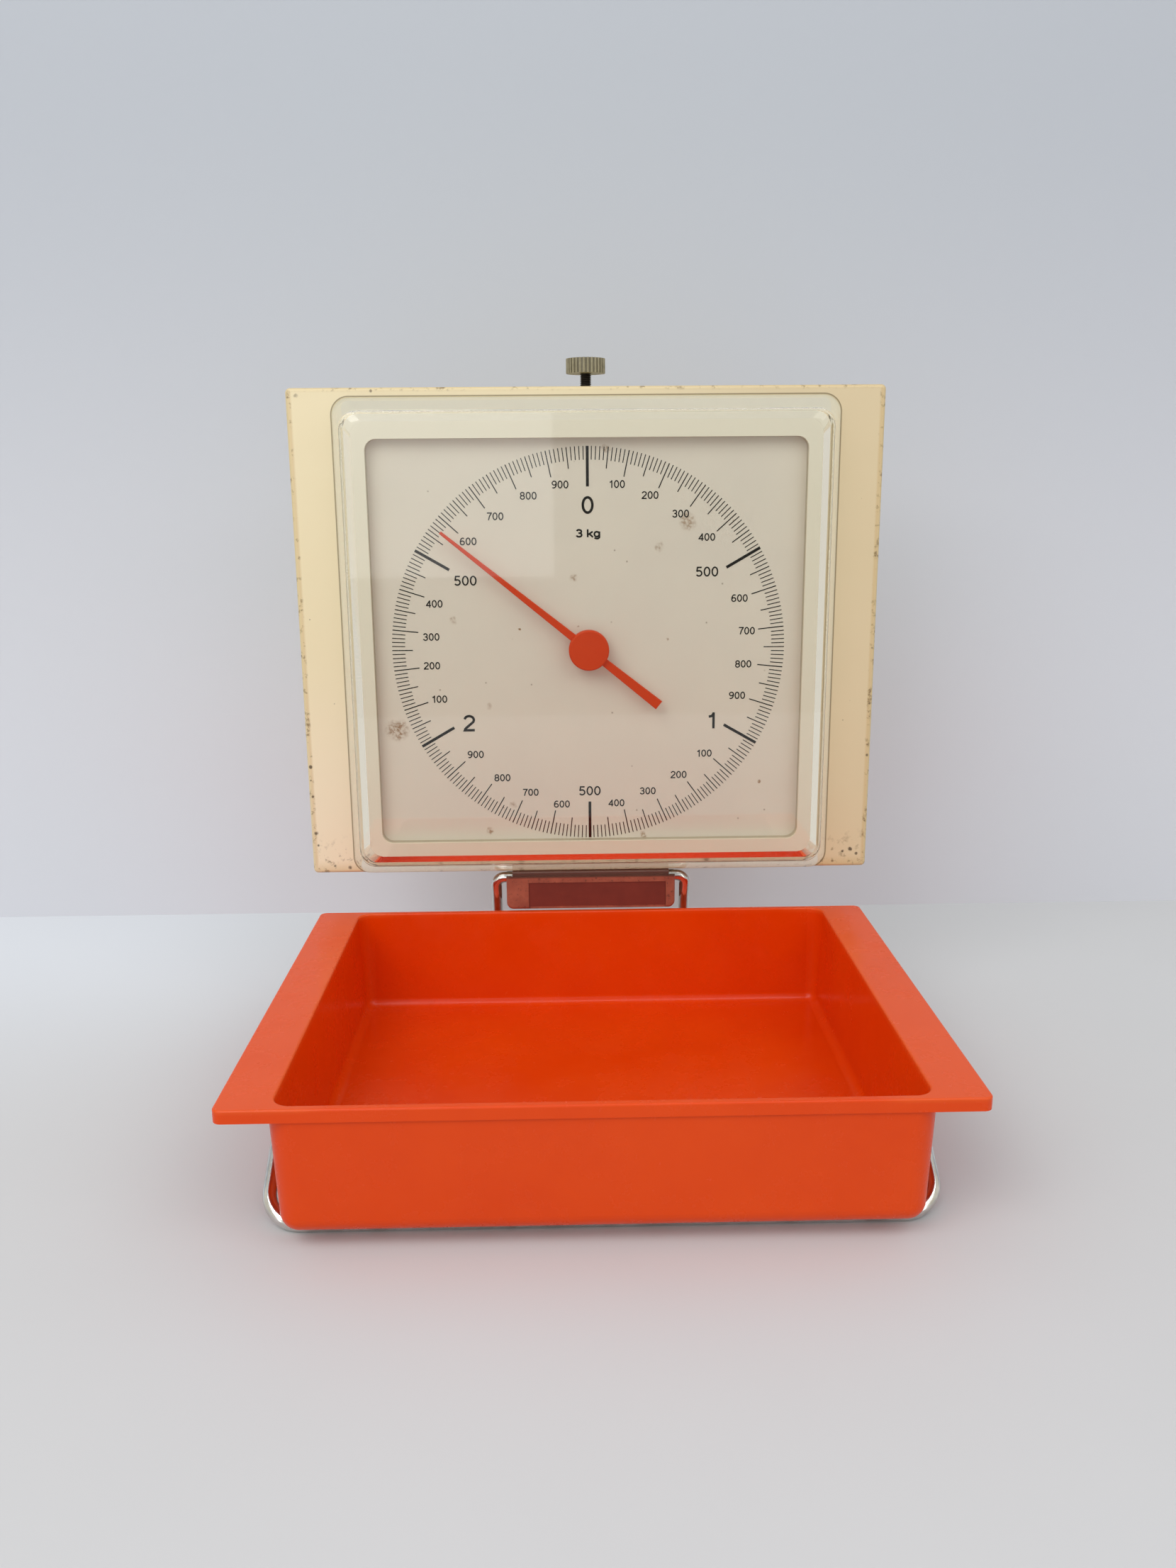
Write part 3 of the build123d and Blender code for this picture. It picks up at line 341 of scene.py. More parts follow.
def printed_sheet():
    """Aluminium sheet, printed white and lacquered: a warm grey-white with brown foxing stains."""
    material, tree, mm = new_finish("dial_sheet_printed")
    colour, _ = mottled(tree, mm, 45, ("#E9E2D2", "#E5DECF"), (0.35, 0.65), rough=0.6)
    # The stains' outlines wander by about 1.5 mm, in waves 4 mm long
    wander = add(tree, "ShaderNodeTexNoise", {"Vector": mm, "Scale": 1 / 4, "Detail": 3.0})
    wander = add(tree, "ShaderNodeVectorMath", {0: wander.outputs["Color"], 1: (0.5, 0.5, 0.5)},
                 operation="SUBTRACT")
    ragged = add(tree, "ShaderNodeVectorMath", {0: wander, 1: (3.0, 0.0, 3.0), 2: mm},
                 operation="MULTIPLY_ADD")
    # Inside a stain, flecks 1 mm across
    flecks = add(tree, "ShaderNodeTexNoise", {
        "Vector": mm, "Scale": 1 / 1.1, "Detail": 3.0, "Roughness": 0.6})
    flecks = add(tree, "ShaderNodeMapRange", {
        "Value": flecks.outputs["Fac"], "From Min": 0.42, "From Max": 0.62, "To Min": 0.25,
        "To Max": 1.3})
    for x, z, radius, strength in FOXING:
        away = add(tree, "ShaderNodeVectorMath", {0: ragged, 1: (x, DIAL_LOW.y / MM, z)},
                   operation="DISTANCE")
        stain = add(tree, "ShaderNodeMapRange", {
            "Value": away.outputs["Value"], "From Min": radius, "From Max": radius * 0.4,
            "To Min": 0.0, "To Max": strength}, interpolation_type="SMOOTHSTEP")
        stain = add(tree, "ShaderNodeMath", {0: stain, 1: flecks}, operation="MULTIPLY")
        colour = add(tree, "ShaderNodeMix", {"Factor": stain, "A": colour, "B": linear("#8E6226")},
                     data_type="RGBA")
    # Pin-prick foxing 0.3 mm across, 9 mm apart
    cells = add(tree, "ShaderNodeTexVoronoi", {"Vector": mm, "Scale": 1 / 9})
    prick = add(tree, "ShaderNodeMapRange", {
        "Value": cells.outputs["Distance"], "From Min": 0.05, "From Max": 0.02, "To Min": 0.0,
        "To Max": 0.6})
    colour = add(tree, "ShaderNodeMix", {"Factor": prick, "A": colour, "B": linear("#7A6242")},
                 data_type="RGBA")
    close_finish(tree, add(tree, "ShaderNodeBsdfPrincipled", {
        "Base Color": colour, "Roughness": 0.55, "IOR": 1.5,
        "Normal": grain(tree, mm, 1.2, 0.01, 0.05)}))
    return material


def black_ink():
    """Printing ink, screened: flat black, thinned a little where it has worn."""
    material, tree, mm = new_finish("ink_screened_black")
    worn = add(tree, "ShaderNodeTexNoise", {
        "Vector": mm, "Scale": 1 / 1.5, "Detail": 4.0, "Roughness": 0.7})
    thin = add(tree, "ShaderNodeMapRange", {
        "Value": worn.outputs["Fac"], "From Min": 0.5, "From Max": 0.8, "To Min": 0.0,
        "To Max": 0.2})
    colour = add(tree, "ShaderNodeMix", {
        "Factor": thin, "A": linear("#0E0D0B"), "B": linear("#5A564D")}, data_type="RGBA")
    close_finish(tree, add(tree, "ShaderNodeBsdfPrincipled", {
        "Base Color": colour, "Roughness": 0.6, "IOR": 1.5, "Specular IOR Level": 0.15}))
    return material


def orange_polystyrene():
    """Polystyrene, moulded: a glossy orange skin, mottled, scratched by knives and rubbed dull."""
    material, tree, mm = new_finish("polystyrene_moulded_orange")
    base, _ = mottled(tree, mm, 38, ("#DC3A00", "#E24203"), (0.3, 0.7), rough=0.6)
    # Scratches 0.3 mm wide and 18 mm long, in two directions
    marks = []
    for turn, gap in ((0.5, 0.30), (-0.9, 0.45)):
        stretched = add(tree, "ShaderNodeMapping", {
            "Vector": mm, "Rotation": (0.0, 0.0, turn), "Scale": (1 / 18, 1 / gap, 1 / 6)})
        lines = add(tree, "ShaderNodeTexNoise", {"Vector": stretched, "Scale": 1.0, "Detail": 2.0})
        marks.append(add(tree, "ShaderNodeMapRange", {
            "Value": lines.outputs["Fac"], "From Min": 0.68, "From Max": 0.8}))
    marks = add(tree, "ShaderNodeMath", {0: marks[0], 1: marks[1]}, operation="MAXIMUM")
    # Knives only reach its level faces
    facing = add(tree, "ShaderNodeNewGeometry").outputs["Normal"]
    facing = add(tree, "ShaderNodeSeparateXYZ", {0: facing})
    level = add(tree, "ShaderNodeMapRange", {
        "Value": facing.outputs["Z"], "From Min": 0.8, "From Max": 0.95, "To Min": 0.0,
        "To Max": 0.16})
    worn = add(tree, "ShaderNodeMath", {0: marks, 1: level}, operation="MULTIPLY")
    # Painted sheen and wear: the rim's top is paler, most on the handles, and so is the front face
    xyz = add(tree, "ShaderNodeSeparateXYZ", {0: mm})
    rim_top, rim_end, rim_front = TRAY_HIGH.z / MM, TRAY_HIGH.x / MM, TRAY_LOW.y / MM
    rim = add(tree, "ShaderNodeMapRange", {
        "Value": xyz.outputs["Z"], "From Min": rim_top - 2.0, "From Max": rim_top - 0.3,
        "To Min": 0.0, "To Max": 0.28})
    from_x = add(tree, "ShaderNodeMath", {0: xyz.outputs["X"]}, operation="ABSOLUTE")
    handle = add(tree, "ShaderNodeMapRange", {
        "Value": from_x, "From Min": rim_end - 30.0, "From Max": rim_end - 22.0, "To Min": 0.35,
        "To Max": 1.0})
    rim = add(tree, "ShaderNodeMath", {0: rim, 1: handle}, operation="MULTIPLY")
    front = add(tree, "ShaderNodeMapRange", {
        "Value": xyz.outputs["Y"], "From Min": rim_front + 6.0, "From Max": rim_front + 2.0,
        "To Min": 0.0, "To Max": 0.10})
    for sheen_and_wear in (rim, front):
        worn = add(tree, "ShaderNodeMath", {0: worn, 1: sheen_and_wear}, operation="MAXIMUM")
    colour = add(tree, "ShaderNodeMix", {"Factor": worn, "A": base, "B": linear("#EC7838")},
                 data_type="RGBA")
    rubbed = add(tree, "ShaderNodeTexNoise", {
        "Vector": mm, "Scale": 1 / 15, "Detail": 5.0, "Roughness": 0.65})
    gloss = add(tree, "ShaderNodeMapRange", {
        "Value": rubbed.outputs["Fac"], "From Min": 0.35, "From Max": 0.7, "To Min": 0.16,
        "To Max": 0.36})
    close_finish(tree, add(tree, "ShaderNodeBsdfPrincipled", {
        "Base Color": colour, "Roughness": gloss, "IOR": 1.55, "Specular IOR Level": 0.17,
        "Normal": grain(tree, mm, 9, 0.08, 0.2)}))
    return material


def pointer_lacquer():
    """Sheet metal, sprayed orange: a thin even lacquer with fine dust in it."""
    material, tree, mm = new_finish("lacquer_sprayed_orange")
    colour, _ = mottled(tree, mm, 8, ("#D63A02", "#DC4406"), detail=3.0)
    close_finish(tree, add(tree, "ShaderNodeBsdfPrincipled", {
        "Base Color": colour, "Roughness": 0.38, "IOR": 1.5, "Specular IOR Level": 0.15,
        "Normal": grain(tree, mm, 0.3, 0.03, 0.15)}))
    return material


def ribbed_plastic():
    """Grey-brown plastic, moulded with ribs: satin, with dirt held between the ribs."""
    material, tree, mm = new_finish("plastic_moulded_grey_brown")
    skin, clouds = mottled(tree, mm, 2.5, ("#9A9272", "#7E7658"), (0.35, 0.7), rough=0.65)
    # Dirt gathers towards the ribs' roots, between these radii, and not on the knob's flat top
    xyz = add(tree, "ShaderNodeSeparateXYZ", {0: mm})
    middle = (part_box("zero_knob")[0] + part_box("zero_knob")[1]) / 2 / MM
    flat = add(tree, "ShaderNodeCombineXYZ", {0: xyz.outputs["X"], 1: xyz.outputs["Y"]})
    out = add(tree, "ShaderNodeVectorMath", {0: flat, 1: (middle.x, middle.y, 0.0)},
              operation="DISTANCE").outputs["Value"]
    deep = add(tree, "ShaderNodeMapRange", {
        "Value": out, "From Min": 6.9, "From Max": 6.5, "To Min": 0.0, "To Max": 0.55})
    side_only = add(tree, "ShaderNodeMapRange", {
        "Value": out, "From Min": 6.3, "From Max": 6.42})
    dirt = add(tree, "ShaderNodeMath", {0: deep, 1: side_only}, operation="MULTIPLY")
    colour = add(tree, "ShaderNodeMix", {"Factor": dirt, "A": skin, "B": linear("#4A4232")},
                 data_type="RGBA")
    relief = add(tree, "ShaderNodeBump", {
        "Height": clouds, "Strength": 0.15, "Distance": 0.05 * MM})
    close_finish(tree, add(tree, "ShaderNodeBsdfPrincipled", {
        "Base Color": colour, "Roughness": 0.45, "IOR": 1.55, "Normal": relief}))
    return material


def metal(name, bright, dull, rough_low, rough_high, patch, pit, depth):
    """A metal finish: two tones in patches (mm), its polish, and pits or draw marks (mm)."""
    material, tree, mm = new_finish(name)
    colour, clouds = mottled(tree, mm, patch, (bright, dull), (0.38, 0.68), rough=0.6)
    gloss = add(tree, "ShaderNodeMapRange", {
        "Value": clouds, "From Min": 0.35, "From Max": 0.7, "To Min": rough_low,
        "To Max": rough_high})
    close_finish(tree, add(tree, "ShaderNodeBsdfPrincipled", {
        "Base Color": colour, "Roughness": gloss, "Metallic": 1.0,
        "Normal": grain(tree, mm, pit, depth, 0.2)}))
    return material


def soft_part(name, pale, dark, rough, fine, ior):
    """A plain moulded or cut part: two close tones, and a grain (mm) a tenth as deep as wide."""
    material, tree, mm = new_finish(name)
    colour, _ = mottled(tree, mm, fine * 8, (pale, dark))
    close_finish(tree, add(tree, "ShaderNodeBsdfPrincipled", {
        "Base Color": colour, "Roughness": rough, "IOR": ior,
        "Normal": grain(tree, mm, fine, 0.1 * fine, 0.2)}))
    return material


finishes = {
    "ivory_plastic": yellowed_abs(),
    "clear_plastic": clear_acrylic(),
    "dial_print": printed_sheet(),
    "orange_plastic": orange_polystyrene(),
    "pointer_paint": pointer_lacquer(),
    "knob_plastic": ribbed_plastic(),
    # Chromium on polished wire: bright, pitted every 0.8 mm
    "chrome_wire": metal(
        "steel_wire_chromium_plated", "#E4E4E2", "#C2BFB8", 0.08, 0.24, 9, 0.8, 0.03),
    # Oil-blackened steel: dark and satin
    "black_steel": metal("steel_blackened", "#4A4744", "#2E2B29", 0.32, 0.5, 3, 0.4, 0.03),
    # Zinc over pressed sheet: grey with cloudy white bloom
    "zinc_steel": metal(
        "steel_pressed_zinc_plated", "#BDBDB8", "#93918A", 0.3, 0.55, 12, 0.6, 0.04),
    # Drawn spring wire: darker, with a sheen
    "spring_steel": metal("steel_wire_drawn", "#8E8F90", "#66676A", 0.25, 0.4, 4, 0.3, 0.02),
    # Turned brass, dulled by age
    "brass": metal("brass_turned", "#D9B76A", "#A8863F", 0.25, 0.45, 5, 0.3, 0.02),
    # Natural nylon: milky, satin
    "nylon": soft_part("nylon_moulded_natural", "#E6E3D6", "#D5CFBB", 0.45, 0.5, 1.53),
    # Black rubber, dull
    "rubber": soft_part("rubber_moulded_black", "#2B2A29", "#1D1C1B", 0.8, 0.3, 1.52),
    # Bare inlay strip: dark red-brown vinyl with a light gloss
    "label_blank": soft_part("vinyl_strip_red_brown", "#7A3426", "#66291E", 0.4, 0.6, 1.5),
}
in_painted_shade = tray_shaded_abs()
for part in frame["record"]["subparts"]:
    finish = finishes[part["material_slot"]]
    # The label block and knuckle take the housing's ABS in painted shade
    if part["node"] in ("label_block", "knuckle"):
        finish = in_painted_shade
    for slot in frame["nodes"][part["node"]].material_slots:
        slot.material = finish
ink = black_ink()


# ---------------------------------------------------------------- dial printing
# The printing stands a little proud of the dial sheet, and its back lies in it (mm)
PRINT_FRONT = DIAL_LOW.y / MM - 0.06
PRINT_BACK = DIAL_LOW.y / MM + 0.02
SCALE_R = 70.0  # mm
SCALE_LINES = 300
# The lines' kinds: each so many, length and width (mm). The last that fits counts.
LINE_KINDS = ((1, 4.6, 0.30), (5, 7.3, 0.34), (10, 9.1, 0.36), (50, 13.6, 1.0))


def piece_from(bm, name, material, body):
    """Makes the object of a finished mesh and lets it ride on its body."""
    bmesh.ops.recalc_face_normals(bm, faces=bm.faces)
    mesh = bpy.data.meshes.new(name)
    bm.to_mesh(mesh)
    bm.free()
    mesh.materials.append(material)
    piece = bpy.data.objects.new(name, mesh)
    bpy.context.scene.collection.objects.link(piece)
    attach(piece, body)
    return piece


def stroke(bm, angle, outer, length, width):
    """Adds one printed line that runs inwards from a radius, at an angle clockwise from the top."""
    out = Vector((math.sin(angle), math.cos(angle)))
    across = Vector((out.y, -out.x)) * width / 2
    outline = [out * outer + across, out * outer - across, out * (outer - length) - across,
               out * (outer - length) + across]
    rings = [[bm.verts.new(((DIAL_X + p.x) * MM, y * MM, (DIAL_Z + p.y) * MM)) for p in outline]
             for y in (PRINT_FRONT, PRINT_BACK)]
    bm.faces.new(rings[0])
    bm.faces.new(rings[1][::-1])
    for i in range(4):
        bm.faces.new((rings[0][i], rings[1][i], rings[1][i - 1], rings[0][i - 1]))


def scale_lines():
    """The dial's lines, one for each 10 g: longer at fifths and tenths, bold at fiftieths."""
    bm = bmesh.new()
    for k in range(SCALE_LINES):
        length, width = [kind[1:] for kind in LINE_KINDS if k % kind[0] == 0][-1]
        stroke(bm, math.radians(k * 360 / SCALE_LINES), SCALE_R, length, width)
    piece_from(bm, "dial_lines", ink, "housing")


def bow(middle_x, middle_z, wide, high, start, end):
    """Points of an elliptic arc, in degrees counted anticlockwise from the right."""
    steps = max(2, int(abs(end - start) / 15))
    angles = [math.radians(start + (end - start) * i / steps) for i in range(steps + 1)]
    return [(middle_x + wide * math.cos(a), middle_z + high * math.sin(a)) for a in angles]


# Strokes of each printed character as middle lines, 1 high. Closed strokes end where they start.
GLYPHS = {
    "0": [bow(0.28, 0.5, 0.21, 0.44, 0, 360)],
    "1": [[(0.34, 0.0), (0.34, 1.0)], [(0.12, 0.74), (0.26, 0.78), (0.34, 0.93)]],
    "2": [bow(0.28, 0.70, 0.21, 0.24, 170, -35) + [(0.10, 0.16), (0.07, 0.06), (0.52, 0.06)]],
    "3": [bow(0.27, 0.725, 0.19, 0.215, 165, -78) + [(0.22, 0.52)],
          [(0.22, 0.52)] + bow(0.27, 0.29, 0.215, 0.235, 80, -165)],
    "4": [[(0.40, 0.0), (0.40, 0.97)], [(0.42, 0.93), (0.06, 0.30), (0.06, 0.28), (0.54, 0.28)]],
    "5": [[(0.48, 0.94), (0.15, 0.94), (0.10, 0.50)], bow(0.27, 0.33, 0.215, 0.27, 138, -150)],
    "6": [bow(0.28, 0.31, 0.21, 0.25, 0, 360), bow(0.34, 0.44, 0.27, 0.50, 62, 194)],
    "7": [[(0.05, 0.94), (0.51, 0.94), (0.50, 0.88), (0.33, 0.55), (0.20, 0.0)]],
    "8": [bow(0.28, 0.725, 0.185, 0.215, 0, 360), bow(0.28, 0.29, 0.21, 0.235, 0, 360)],
    "9": [bow(0.28, 0.69, 0.21, 0.25, 0, 360), bow(0.22, 0.56, 0.27, 0.50, -118, 14)],
    "k": [[(0.09, 0.0), (0.09, 1.0)], [(0.50, 0.71), (0.13, 0.33)], [(0.22, 0.42), (0.52, 0.0)]],
    "g": [bow(0.27, 0.37, 0.20, 0.31, 0, 360),
          [(0.48, 0.71), (0.48, 0.02)] + bow(0.28, 0.0, 0.20, 0.19, -5, -160)],
    " ": [],
}
# How far each character moves the next one along
ADVANCE = {**dict.fromkeys("023456789", 0.62), "1": 0.56, " ": 0.26, "k": 0.56, "g": 0.58}
TOUCH = 0.004  # crossing strokes differ this much in depth (mm), so that no faces coincide


def ribbon(bm, line, width, depth_step):
    """Adds one printed stroke: a band of that width (mm) along a line of (x, z) points in mm."""
    closed = math.dist(line[0], line[-1]) < 1e-6
    points = [Vector(p) for p in (line[:-1] if closed else line)]
    count = len(points)
    left, right = [], []
    for i, point in enumerate(points):
        into = point - points[i - 1] if closed or i > 0 else Vector((0.0, 0.0))
        away = points[(i + 1) % count] - point if closed or i < count - 1 else into
        into = (into if into.length > 0 else away).normalized()
        away = away.normalized()
        mid = (into + away).normalized()
        # Sharp corners are mitred to twice the width at most
        across = Vector((-mid.y, mid.x)) * width / 2 / max(0.5, mid.dot(into))
        left.append(point + across)
        right.append(point - across)
    front, back = ([[bm.verts.new((p.x * MM, y * MM, p.y * MM)) for p in side]
                    for side in (left, right)] for y in (PRINT_FRONT - depth_step, PRINT_BACK))
    for i in range(count if closed else count - 1):
        j = (i + 1) % count
        bm.faces.new((front[0][i], front[0][j], front[1][j], front[1][i]))
        bm.faces.new((back[0][i], back[1][i], back[1][j], back[0][j]))
        for side in (0, 1):
            bm.faces.new((front[side][i], back[side][i], back[side][j], front[side][j]))
    if not closed:
        for i in (0, count - 1):
            bm.faces.new((front[0][i], front[1][i], back[1][i], back[0][i]))


def print_word(bm, word, x, z, height, weight, stretch):
    """Adds a printed word, centred x and z from the dial's middle (mm). The stroke's width is
    weight times the height, and stretch widens the characters."""
    wide = height * stretch
    at = DIAL_X + x - (sum(ADVANCE[mark] for mark in word) - 0.06) * wide / 2
    for mark in word:
        for n, line in enumerate(GLYPHS[mark]):
            placed = [(at + u * wide, DIAL_Z + z + (v - 0.5) * height) for u, v in line]
            ribbon(bm, placed, weight * height, TOUCH * n)
        at += ADVANCE[mark] * wide


# The three sizes of numbers and the capacity's: height (mm), weight and stretch
SMALL, MIDDLE, LARGE = (2.6, 0.155, 1.26), (3.4, 0.15, 1.32), (5.9, 0.15, 1.35)
CAPACITY = (2.7, 0.22, 1.6)
# Middles of the small numbers, from the dial's middle (mm), as they are really printed
HUNDREDS = {
    1: (10.2, 57.1), 2: (21.8, 53.3), 3: (32.5, 46.9), 4: (41.8, 38.8), 6: (53.7, 17.4),
    7: (56.5, 5.8), 8: (55.5, -6.1), 9: (53.5, -17.5), 11: (41.8, -38.7), 12: (32.6, -46.6),
    13: (21.3, -52.6), 14: (9.8, -57.0), 16: (-10.3, -57.2), 17: (-21.7, -52.6),
    18: (-31.9, -47.0), 19: (-41.4, -38.2), 21: (-53.9, -17.7), 22: (-56.1, -5.6),
    23: (-56.0, 4.7), 24: (-54.5, 16.4), 26: (-41.9, 38.0), 27: (-32.3, 46.5),
    28: (-20.6, 53.4), 29: (-9.5, 57.1),
}
# The other words, with their middles (mm) and sizes
WORDS = (
    ("500", 42.0, 26.8, MIDDLE), ("500", 0.0, -52.3, MIDDLE), ("500", -43.3, 24.4, MIDDLE),
    ("0", 0.0, 50.1, LARGE), ("1", 44.4, -26.6, LARGE), ("2", -43.4, -26.6, LARGE),
    ("3 kg", 0.0, 40.45, CAPACITY),
)


def scale_numbers():
    """The dial's numbers: grams in small, kilograms in large, and the scale's capacity."""
    bm = bmesh.new()
    for k, (x, z) in HUNDREDS.items():
        print_word(bm, str(k * 100 % 1000), x, z, *SMALL)
    for word, x, z, kind in WORDS:
        print_word(bm, word, x, z, *kind)
    piece_from(bm, "dial_numbers", ink, "housing")


scale_lines()
scale_numbers()


# ---------------------------------------------------------------- zero screw
def threaded_screw():
    """The zero screw with its real thread: 4 mm across, 0.7 mm pitch, on a plain 3 mm journal."""
    around, pitch, outer_r, root_r, journal_r, journal_l = 32, 0.7, 2.0, 1.62, 1.5, 4.5
    runout = 0.6  # the thread ends over this length (mm)
    middle = (SCREW_LOW + SCREW_HIGH) / 2 / MM
    low, high = SCREW_LOW.z / MM, SCREW_HIGH.z / MM
    levels = [(low, False), (low + journal_l, False), (low + journal_l + 0.01, True)]
    z = low + journal_l + pitch / 10
    while z < high - pitch / 10:
        levels.append((z, True))
        z += pitch / 10
    levels.append((high, True))
    bm = bmesh.new()
    rings = []
    for z, threaded in levels:
        ring = []
        for i in range(around):
            turn = i / around
            phase = (z / pitch - turn) % 1.0
            # 1 on the thread's flat crest, 0 at its root
            crest = min(1.0, max(0.0, 1.15 - 2.6 * abs(phase - 0.5)))
            fade = min(1.0, max(0.0, (high - z) / runout))
            radius = root_r + (outer_r - root_r) * crest * fade if threaded else journal_r
            ring.append(bm.verts.new(((middle.x + radius * math.cos(turn * math.tau)) * MM,
                                      (middle.y + radius * math.sin(turn * math.tau)) * MM,
                                      z * MM)))
        rings.append(ring)
    for below, above in zip(rings, rings[1:]):
        for i in range(around):
            bm.faces.new((below[i - 1], below[i], above[i], above[i - 1]))
    bm.faces.new(rings[0])
    bm.faces.new(rings[-1])
    screw = piece_from(bm, "zero_screw_thread", finishes["black_steel"], "screw")
    for face in screw.data.polygons:
        face.use_smooth = len(face.vertices) == 4
    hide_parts("zero_screw")


threaded_screw()


# ---------------------------------------------------------------- floor, backdrop, light, camera
STAGE_WIDTH = 3.2  # m
FLOOR_FRONT, FLOOR_REAR = -0.6, 1.6
WALL_Y, WALL_TOP = 0.178, 1.4


def stage_sheet(name, points, material):
    """A sheet drawn from a side profile of (y, z) points, as floor or backdrop."""
    bm = bmesh.new()
    rows = [[bm.verts.new((x, y, z)) for x in (-STAGE_WIDTH / 2, STAGE_WIDTH / 2)]
            for y, z in points]
    for near, far in zip(rows, rows[1:]):
        bm.faces.new((near[0], near[1], far[1], far[0]))
    mesh = bpy.data.meshes.new(name)
    bm.to_mesh(mesh)
    bm.free()
    mesh.materials.append(material)
    sheet = bpy.data.objects.new(name, mesh)
    bpy.context.scene.collection.objects.link(sheet)
    return sheet


def floor_paper():
    """Pale table paper: matt, faintly warm."""
    material, tree, mm = new_finish("paper_matt_pale")
    colour, _ = mottled(tree, mm, 120, ("#D2D2D0", "#CDCDCB"), detail=3.0)
    # Painted light: it is paler towards its rear left
    xyz = add(tree, "ShaderNodeSeparateXYZ", {0: mm})
    rear = add(tree, "ShaderNodeMapRange", {
        "Value": xyz.outputs["Y"], "From Min": -60.0, "From Max": 160.0},
        interpolation_type="SMOOTHSTEP")
    left = add(tree, "ShaderNodeMapRange", {
        "Value": xyz.outputs["X"], "From Min": 0.0, "From Max": -220.0},
        interpolation_type="SMOOTHSTEP")
    painted_pool = add(tree, "ShaderNodeMath", {0: rear, 1: left}, operation="MULTIPLY")
    colour = add(tree, "ShaderNodeMix", {"Factor": painted_pool, "A": colour, "B": linear("#E1E4E6")},
                 data_type="RGBA")
    close_finish(tree, add(tree, "ShaderNodeBsdfPrincipled", {
        "Base Color": colour, "Roughness": 0.9, "Specular IOR Level": 0.2}))
    return material


def wall_paper():
    """Pale wall: matt and cool. It is seen only from its front."""
    material, tree, mm = new_finish("wall_matt_cool")
    xyz = add(tree, "ShaderNodeSeparateXYZ", {0: mm})
    # Painted light and shade: paler at its foot, darker from 60 to 380 mm up
    high = add(tree, "ShaderNodeMapRange", {
        "Value": xyz.outputs["Z"], "From Min": 60.0, "From Max": 380.0},
        interpolation_type="SMOOTHSTEP")
    colour = add(tree, "ShaderNodeMix", {
        "Factor": high, "A": linear("#D9DADD"), "B": linear("#BDC1C5")}, data_type="RGBA")
    # Painted light: it is paler behind the housing's foot, lifting the shade there
    painted_lift = add(tree, "ShaderNodeMapRange", {
        "Value": xyz.outputs["Z"], "From Min": 170.0, "From Max": 50.0},
        interpolation_type="SMOOTHSTEP")
    from_x = add(tree, "ShaderNodeMath", {0: xyz.outputs["X"]}, operation="ABSOLUTE")
    behind = add(tree, "ShaderNodeMapRange", {
        "Value": from_x, "From Min": 260.0, "From Max": 110.0}, interpolation_type="SMOOTHSTEP")
    painted_lift = add(tree, "ShaderNodeMath", {0: painted_lift, 1: behind}, operation="MULTIPLY")
    colour = add(tree, "ShaderNodeMix", {"Factor": painted_lift, "A": colour, "B": linear("#E0DDE0")},
                 data_type="RGBA")
    front = add(tree, "ShaderNodeBsdfPrincipled", {
        "Base Color": colour, "Roughness": 0.95, "Specular IOR Level": 0.1})
    rear = add(tree, "ShaderNodeBsdfTransparent")
    side = add(tree, "ShaderNodeNewGeometry").outputs["Backfacing"]
    close_finish(tree, add(tree, "ShaderNodeMixShader", {0: side, 1: front, 2: rear}))
    return material


floor = stage_sheet("floor", [(FLOOR_FRONT, 0.0), (FLOOR_REAR, 0.0)], floor_paper())
floor.visible_transmission = False
wall = stage_sheet("wall", [(WALL_Y, 0.0), (WALL_Y, WALL_TOP)], wall_paper())
wall.visible_diffuse = False
wall.visible_shadow = False
wall.visible_transmission = False

# Each lamp's name, place and aim (m), width (m), power (W) and a strip's height (m)
LAMPS = (
    ("lamp_left", (-0.55, -0.75, 0.95), (0.0, 0.0, 0.12), 0.80, 5.6, None),
    ("lamp_right", (0.60, -0.70, 0.95), (0.0, 0.0, 0.12), 0.80, 2.4, None),
    ("strip_window", (-0.47, -1.30, 0.38), (-0.47, 0.0, 0.30), 0.90, 2.6, 0.62),
    ("strip_side_left", (-0.90, -0.80, 0.20), (0.0, 0.0, 0.14), 0.10, 1.2, 1.20),
    ("strip_side_right", (0.90, -0.80, 0.20), (0.0, 0.0, 0.14), 0.10, 1.2, 1.20),
    ("strip_above", (0.0, -0.50, 1.50), (0.0, 0.0, 0.14), 1.80, 8.0, 0.30),
)


def lamp(name, place, aim, width, power, height):
    """A soft square lamp or, with a height, a strip that only shows as a reflection."""
    light = bpy.data.lights.new(name, "AREA")
    light.energy = power
    light.size = width
    light.shape = "SQUARE"
    if height:
        light.shape = "RECTANGLE"
        light.size_y = height
    holder = bpy.data.objects.new(name, light)
    holder.location = place
    holder.rotation_euler = (Vector(aim) - Vector(place)).to_track_quat("-Z", "Y").to_euler()
    holder.visible_camera = False
    holder.visible_diffuse = holder.visible_transmission = not height
    bpy.context.scene.collection.objects.link(holder)


for row in LAMPS:
    lamp(*row)


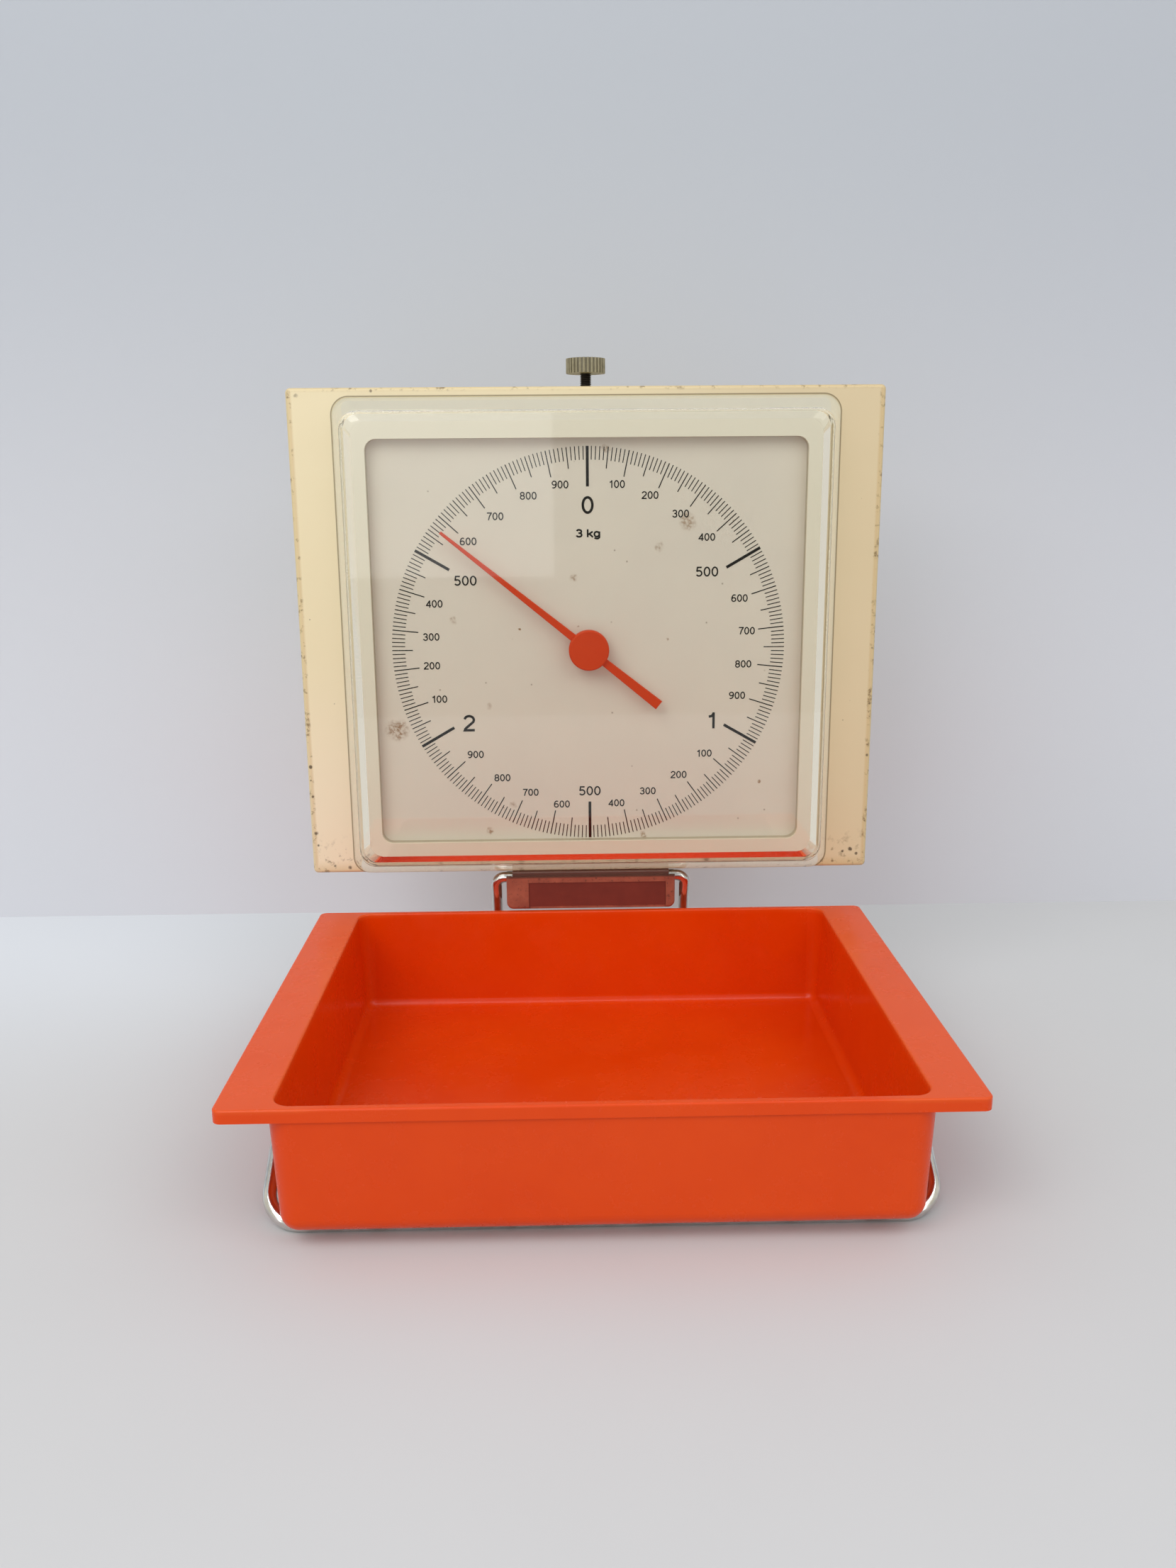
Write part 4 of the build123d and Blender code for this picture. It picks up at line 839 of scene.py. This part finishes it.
def studio_world():
    """Even light all round. Gloss and glass see a room, darker below, and the camera a plain
    pale backdrop."""
    world = bpy.data.worlds.new("studio")
    world.use_nodes = True
    tree = world.node_tree
    tree.nodes.clear()
    look = add(tree, "ShaderNodeTexCoord")
    xyz = add(tree, "ShaderNodeSeparateXYZ", {0: look.outputs["Generated"]})
    rise = add(tree, "ShaderNodeMapRange", {
        "Value": xyz.outputs["Z"], "From Min": -0.02, "From Max": 0.06},
        interpolation_type="SMOOTHSTEP")
    room = add(tree, "ShaderNodeMix", {
        "Factor": rise, "A": linear("#6A665E"), "B": linear("#B9BBBE")}, data_type="RGBA")
    # Pale walls at both sides
    from_x = add(tree, "ShaderNodeMath", {0: xyz.outputs["X"]}, operation="ABSOLUTE")
    side = add(tree, "ShaderNodeMapRange", {"Value": from_x, "From Min": 0.35, "From Max": 0.8},
               interpolation_type="SMOOTHSTEP")
    room = add(tree, "ShaderNodeMix", {"Factor": side, "A": room, "B": linear("#DDD8CC")},
               data_type="RGBA")
    path = add(tree, "ShaderNodeLightPath")
    shown = add(tree, "ShaderNodeMix", {
        "Factor": path.outputs["Is Camera Ray"], "A": room, "B": linear("#C9CED6")},
        data_type="RGBA")
    seen = path.outputs["Is Camera Ray"]
    for ray in ("Is Glossy Ray", "Is Transmission Ray"):
        seen = add(tree, "ShaderNodeMath", {0: seen, 1: path.outputs[ray]}, operation="MAXIMUM")
    even = add(tree, "ShaderNodeBackground", {"Color": linear("#F6F8FF"), "Strength": 0.76})
    back = add(tree, "ShaderNodeBackground", {"Color": shown, "Strength": 1.0})
    mixed = add(tree, "ShaderNodeMixShader", {0: seen, 1: even, 2: back})
    add(tree, "ShaderNodeOutputWorld", {"Surface": mixed})
    bpy.context.scene.world = world


studio_world()

CAMERA_AT = Vector((-9.12, -386.49, 194.84)) * MM
YAW, PITCH, ROLL = (math.radians(a) for a in (1.087, 13.356, 0.462))
SENSOR, FOCAL_LENGTH = 36.0, 28.79  # mm
lens = bpy.data.cameras.new("camera")
lens.sensor_width = SENSOR
lens.lens = FOCAL_LENGTH
lens.clip_start = 0.01
camera = bpy.data.objects.new("camera", lens)
camera.matrix_world = (
    Matrix.Translation(CAMERA_AT) @ Matrix.Rotation(-YAW, 4, "Z")
    @ Matrix.Rotation(math.pi / 2 - PITCH, 4, "X") @ Matrix.Rotation(-ROLL, 4, "Z"))
bpy.context.scene.collection.objects.link(camera)
bpy.context.scene.camera = camera
bpy.context.scene.view_settings.view_transform = "Standard"
